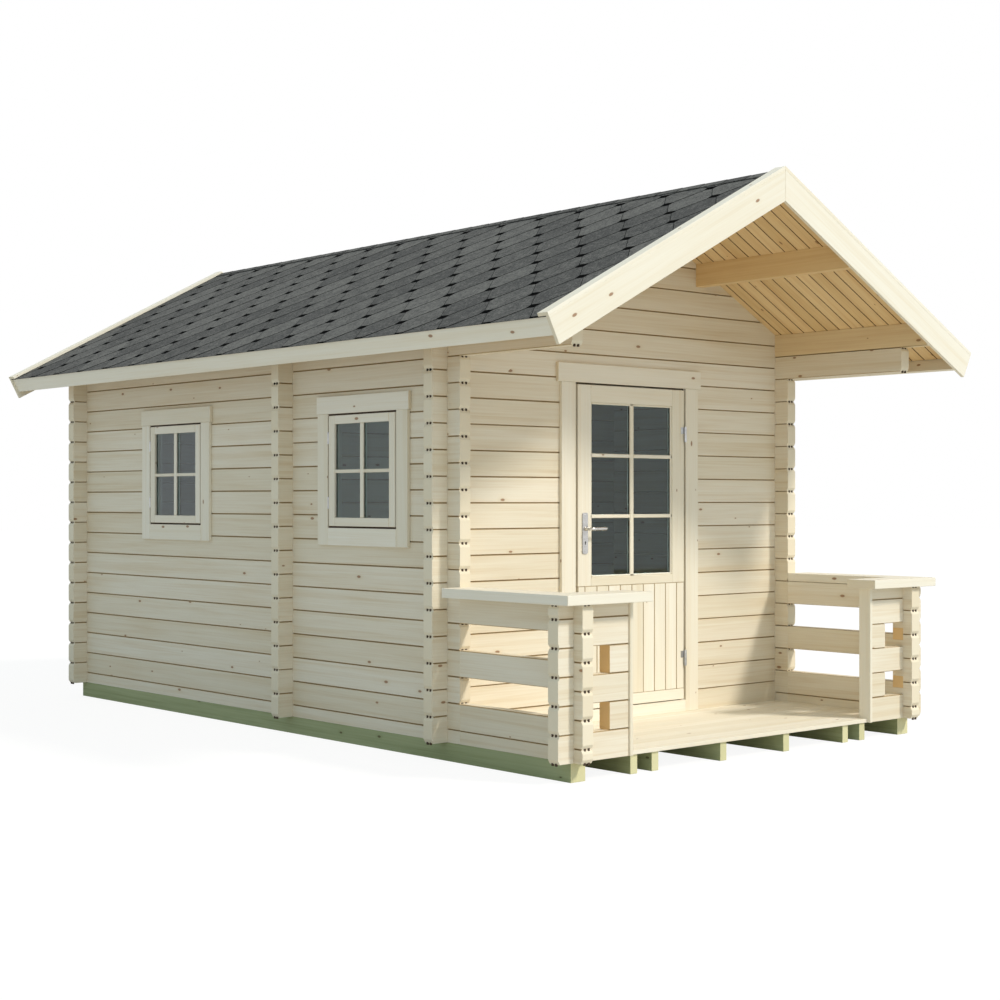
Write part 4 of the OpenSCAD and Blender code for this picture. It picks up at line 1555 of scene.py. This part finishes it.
@dataclass
class Handles:
    """Long plates with a lever and a keyhole on both faces of the door."""

    x: float = -0.369
    z: float = 1.168
    outer: float = -1.6275
    inner: float = -1.5855
    plate_w: float = 0.042
    plate_h: float = 0.223
    plate_t: float = 0.006
    plate_low: float = 1.0325
    key_drop: float = 0.072
    reach: float = 0.045
    path: tuple[tuple[float, float, float, float], ...] = (
        (0, 0, 0.0115, 0.0115), (0, 0.22, 0.0105, 0.0105), (0, 0.30, 0.0080, 0.0080),
        (0, 0.62, 0.0076, 0.0076), (0.003, 0.84, 0.0078, 0.0078), (0.011, 0.96, 0.0080, 0.0078),
        (0.024, 1.0, 0.0072, 0.0086), (0.052, 1.0, 0.0060, 0.0092), (0.085, 1.0, 0.0054, 0.0096),
        (0.112, 0.99, 0.0050, 0.0094), (0.122, 0.985, 0.0030, 0.0062))
    sides: int = 20
    rim: float = 0.0016
    rim_share: tuple[float, float] = (0.94, 0.988)
    corner: float = 0.010
    screw_in: float = 0.012
    screw_r: float = 0.0042
    screw_t: float = 0.0012
    key_r: float = 0.0045
    key_half: float = 0.0024
    key_foot: float = 0.014
    key_t: float = 0.0003
    spindle: float = 0.0042
    spindle_out: float = 0.010

    def faces(self) -> tuple[tuple[float, int], tuple[float, int]]:
        """The door's outer and inner face, each with its way out."""
        return (self.outer, -1), (self.inner, 1)

    def plates(self) -> bpy.types.Object:
        """Builds the plates with rounded corners, screws and keyholes."""
        work = Joinery("handle_plates_pressed")
        middle = self.plate_low + self.plate_h / 2
        wide, tall = self.rim_share
        for face, out in self.faces():
            outline = self.plate_outline(face)
            work.prism(outline, (0, out * (self.plate_t - self.rim), 0), Axis.Z.basis(),
                       Part.PLATE, Part.PLATE)
            step = [(self.x + (p[0] - self.x) * wide, face + out * (self.plate_t - self.rim),
                     middle + (p[2] - self.plate_low - self.plate_h / 2) * tall) for p in outline]
            work.prism(step, (0, out * self.rim, 0), Axis.Z.basis(), Part.PLATE, Part.PLATE)
            shown = face + out * self.plate_t
            turn = Matrix.Rotation(math.radians(90), 4, "X")
            for z in (self.plate_low + self.screw_in, self.plate_low + self.plate_h - self.screw_in):
                place = Matrix.Translation((self.x, shown, z)) @ turn
                bmesh.ops.create_cone(work.mesh, cap_ends=True, segments=16, radius1=self.screw_r,
                                      radius2=self.screw_r, depth=self.screw_t, matrix=place)
        self.mark(work, Part.PLATE)
        self.keyholes(work)
        return work.finish((LEVER_STEEL, LEVER_STEEL, KEYHOLE_SHADE), Body.DOOR, "satin_handle",
                           ["handle_plates"], smooth=35)

    def mark(self, work: Joinery, part: int) -> None:
        """Sets the material part of every face that has none."""
        for face in work.mesh.faces:
            if face[work.part] == Part.BY_FIBRES:
                face[work.part] = part
                face[work.piece] = 0

    def plate_outline(self, y: float) -> list[Point]:
        """A plate's outline with rounded corners.

        Args:
            y: where it lies.

        Returns:
            The outline's points, in turn.
        """
        points = []
        half = self.plate_w / 2 - self.corner
        middle = self.plate_low + self.plate_h / 2
        tall = self.plate_h / 2 - self.corner
        for cx, cz, start in ((half, tall, 0), (-half, tall, 90), (-half, -tall, 180), (half, -tall, 270)):
            for i in range(6):
                angle = math.radians(start + i * 18)
                points.append((self.x + cx + self.corner * math.cos(angle), y,
                               middle + cz + self.corner * math.sin(angle)))
        return points

    def keyholes(self, work: Joinery) -> None:
        """Adds a keyhole, a round head over a slot, on both plates, as a flat dark shape that paints the shade
        in the hole.
        """
        z = self.z - self.key_drop
        for face, out in self.faces():
            y = face + out * self.plate_t
            points = [(self.x + self.key_r * math.cos(math.radians(a)), y,
                       z + self.key_r * math.sin(math.radians(a))) for a in range(-45, 226, 30)]
            points += [(self.x + half, y, z - self.key_foot) for half in (-self.key_half, self.key_half)]
            work.prism(points, (0, out * self.key_t, 0), Axis.Z.basis(), Part.HOLE, Part.HOLE)

    def levers(self) -> bpy.types.Object:
        """Sweeps a lever on both faces, on one square spindle through the door."""
        work = Joinery("door_handle_lever")
        half = self.spindle
        work.block((self.x - half, self.outer - self.spindle_out, self.z - half),
                   (self.x + half, self.inner + self.spindle_out, self.z + half), Axis.Y, 0.0004)
        for face, out in self.faces():
            tip = out * self.reach
            self.sweep(work, [(x, share * tip, deep, tall) for x, share, deep, tall in self.path],
                       face + out * self.plate_t)
        self.mark(work, Part.BY_FIBRES)
        return work.finish((LEVER_STEEL,), Body.LEVER, "satin_handle", ["door_handle"], smooth=60)

    def sweep(self, work: Joinery, path: Sequence[tuple[float, float, float, float]],
              plate: float) -> None:
        """Sweeps oval sections along the lever's path.

        Args:
            work: the mesh.
            path: place along X, place from the plate along Y, half depth and half height.
            plate: the plate's face.
        """
        rings = []
        for i, (x, y, deep, tall) in enumerate(path):
            before, after = path[max(i - 1, 0)], path[min(i + 1, len(path) - 1)]
            heading = Vector((after[0] - before[0], after[1] - before[1], 0)).normalized()
            across = Vector((-heading.y, heading.x, 0))
            middle = Vector((self.x + x, plate + y, self.z))
            ring = []
            for k in range(self.sides):
                angle = 2 * math.pi * k / self.sides
                ring.append(work.mesh.verts.new(middle + across * deep * math.cos(angle)
                                                + Vector((0, 0, 1)) * tall * math.sin(angle)))
            rings.append(ring)
        faces = [work.mesh.faces.new(rings[0]), work.mesh.faces.new(rings[-1][::-1])]
        for first, second in zip(rings, rings[1:]):
            for k in range(self.sides):
                n = (k + 1) % self.sides
                faces.append(work.mesh.faces.new((first[k], second[k], second[n], first[n])))
        bmesh.ops.recalc_face_normals(work.mesh, faces=faces)

    def build(self) -> Made:
        """Builds and returns the plates and the levers."""
        return [self.plates(), self.levers()]


@dataclass
class Fittings:
    """CAD nodes that stay as they are and only take a finish."""

    finishes: dict[str, Finish] = field(default_factory=lambda: {
        "hinge_pins": HINGE_STEEL, "hinge_knuckles": HINGE_STEEL, "door_glass": GLASS,
        "dressing_window_glass": GLASS, "hot_room_window_glass": GLASS})

    def build(self) -> Made:
        """Dresses and returns each node."""
        made = [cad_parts[node] for node in self.finishes]
        for node, finish in zip(made, self.finishes.values()):
            node.data.materials.clear()
            node.data.materials.append(finish.material())
        return made


@dataclass
class Studio:
    """Pale floor, soft light and the camera."""

    eye: Point = (-6.867, -8.3785, 1.325)
    turn: float = -41.094
    lens: float = 62.08
    sun_from: Point = (0.42, -0.78, 0.86)
    sun_power: float = 2.25
    sun_angle: float = 8.0
    sun_colour: Colour = (1.0, 0.955, 0.875)
    fill_from: Point = (0.10, -1.0, 0.22)
    fill_power: float = 0.36
    fill_angle: float = 60.0
    sky_colour: Colour = (0.74, 0.90, 1.0)
    sky_power: float = 0.60
    floor_half: float = 60.0

    def floor(self) -> bpy.types.Object:
        """Lays the floor."""
        reach = self.floor_half
        data = bpy.data.meshes.new("studio_floor")
        data.from_pydata([(-reach, -reach, 0), (reach, -reach, 0), (reach, reach, 0), (-reach, reach, 0)],
                         [], [(0, 1, 2, 3)])
        data.materials.append(Backdrop("studio_floor").material())
        made = bpy.data.objects.new("studio_floor", data)
        bpy.context.scene.collection.objects.link(made)
        return made

    def sky(self) -> None:
        """Lights the scene evenly, and shows white where the sky itself is seen."""
        shader = Shader(bpy.data.worlds.new("studio_sky"), "OutputWorld")
        light = shader.node("Background", {"Color": self.sky_colour, "Strength": self.sky_power})
        white = shader.node("Background", {"Color": (1.0, 1.0, 1.0), "Strength": 1.0})
        bpy.context.scene.world = shader.end(shader.mix(shader.seen(), light, white))

    def lamp(self, name: str, come_from: Point, power: float, angle: float) -> bpy.types.Object:
        """Sets one soft far lamp.

        Args:
            name: the lamp's name.
            come_from: the way its light comes from.
            power: its strength.
            angle: how wide it looks, in degrees.

        Returns:
            The lamp.
        """
        data = bpy.data.lights.new(name, "SUN")
        data.energy = power
        data.angle = math.radians(angle)
        data.color = self.sun_colour
        made = bpy.data.objects.new(name, data)
        made.rotation_euler = Vector(come_from).to_track_quat("Z", "Y").to_euler()
        bpy.context.scene.collection.objects.link(made)
        return made

    def camera(self) -> bpy.types.Object:
        """Sets the camera level, at eye height."""
        data = bpy.data.cameras.new("camera")
        data.lens = self.lens
        data.sensor_width = 36.0
        data.clip_end = 200.0
        made = bpy.data.objects.new("camera", data)
        made.location = self.eye
        made.rotation_euler = (math.radians(90), 0, math.radians(self.turn))
        bpy.context.scene.collection.objects.link(made)
        bpy.context.scene.camera = made
        return made

    def build(self) -> Made:
        """Sets up the studio, and returns its objects."""
        bpy.context.scene.view_settings.view_transform = "Standard"
        floor = self.floor()
        self.sky()
        return [floor, self.lamp("key_light", self.sun_from, self.sun_power, self.sun_angle),
                self.lamp("fill_light", self.fill_from, self.fill_power, self.fill_angle), self.camera()]


def main() -> None:
    """Builds every sub-assembly in order."""
    logging.basicConfig(level=logging.INFO, format="%(name)s: %(message)s")
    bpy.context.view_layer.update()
    stages = (Studio(), Fittings(), LogWalls(), CutTimbers(), Floors(), RoofDeck(), Roofing(),
              Window("dressing", -0.8985), Window("hot_room", 1.0475), Doorway(), Door(), Handles())
    for stage in stages:
        for made in stage.build():
            LOG.info("%s: %s", type(stage).__name__, made.name)


if __name__ == "__main__":
    main()
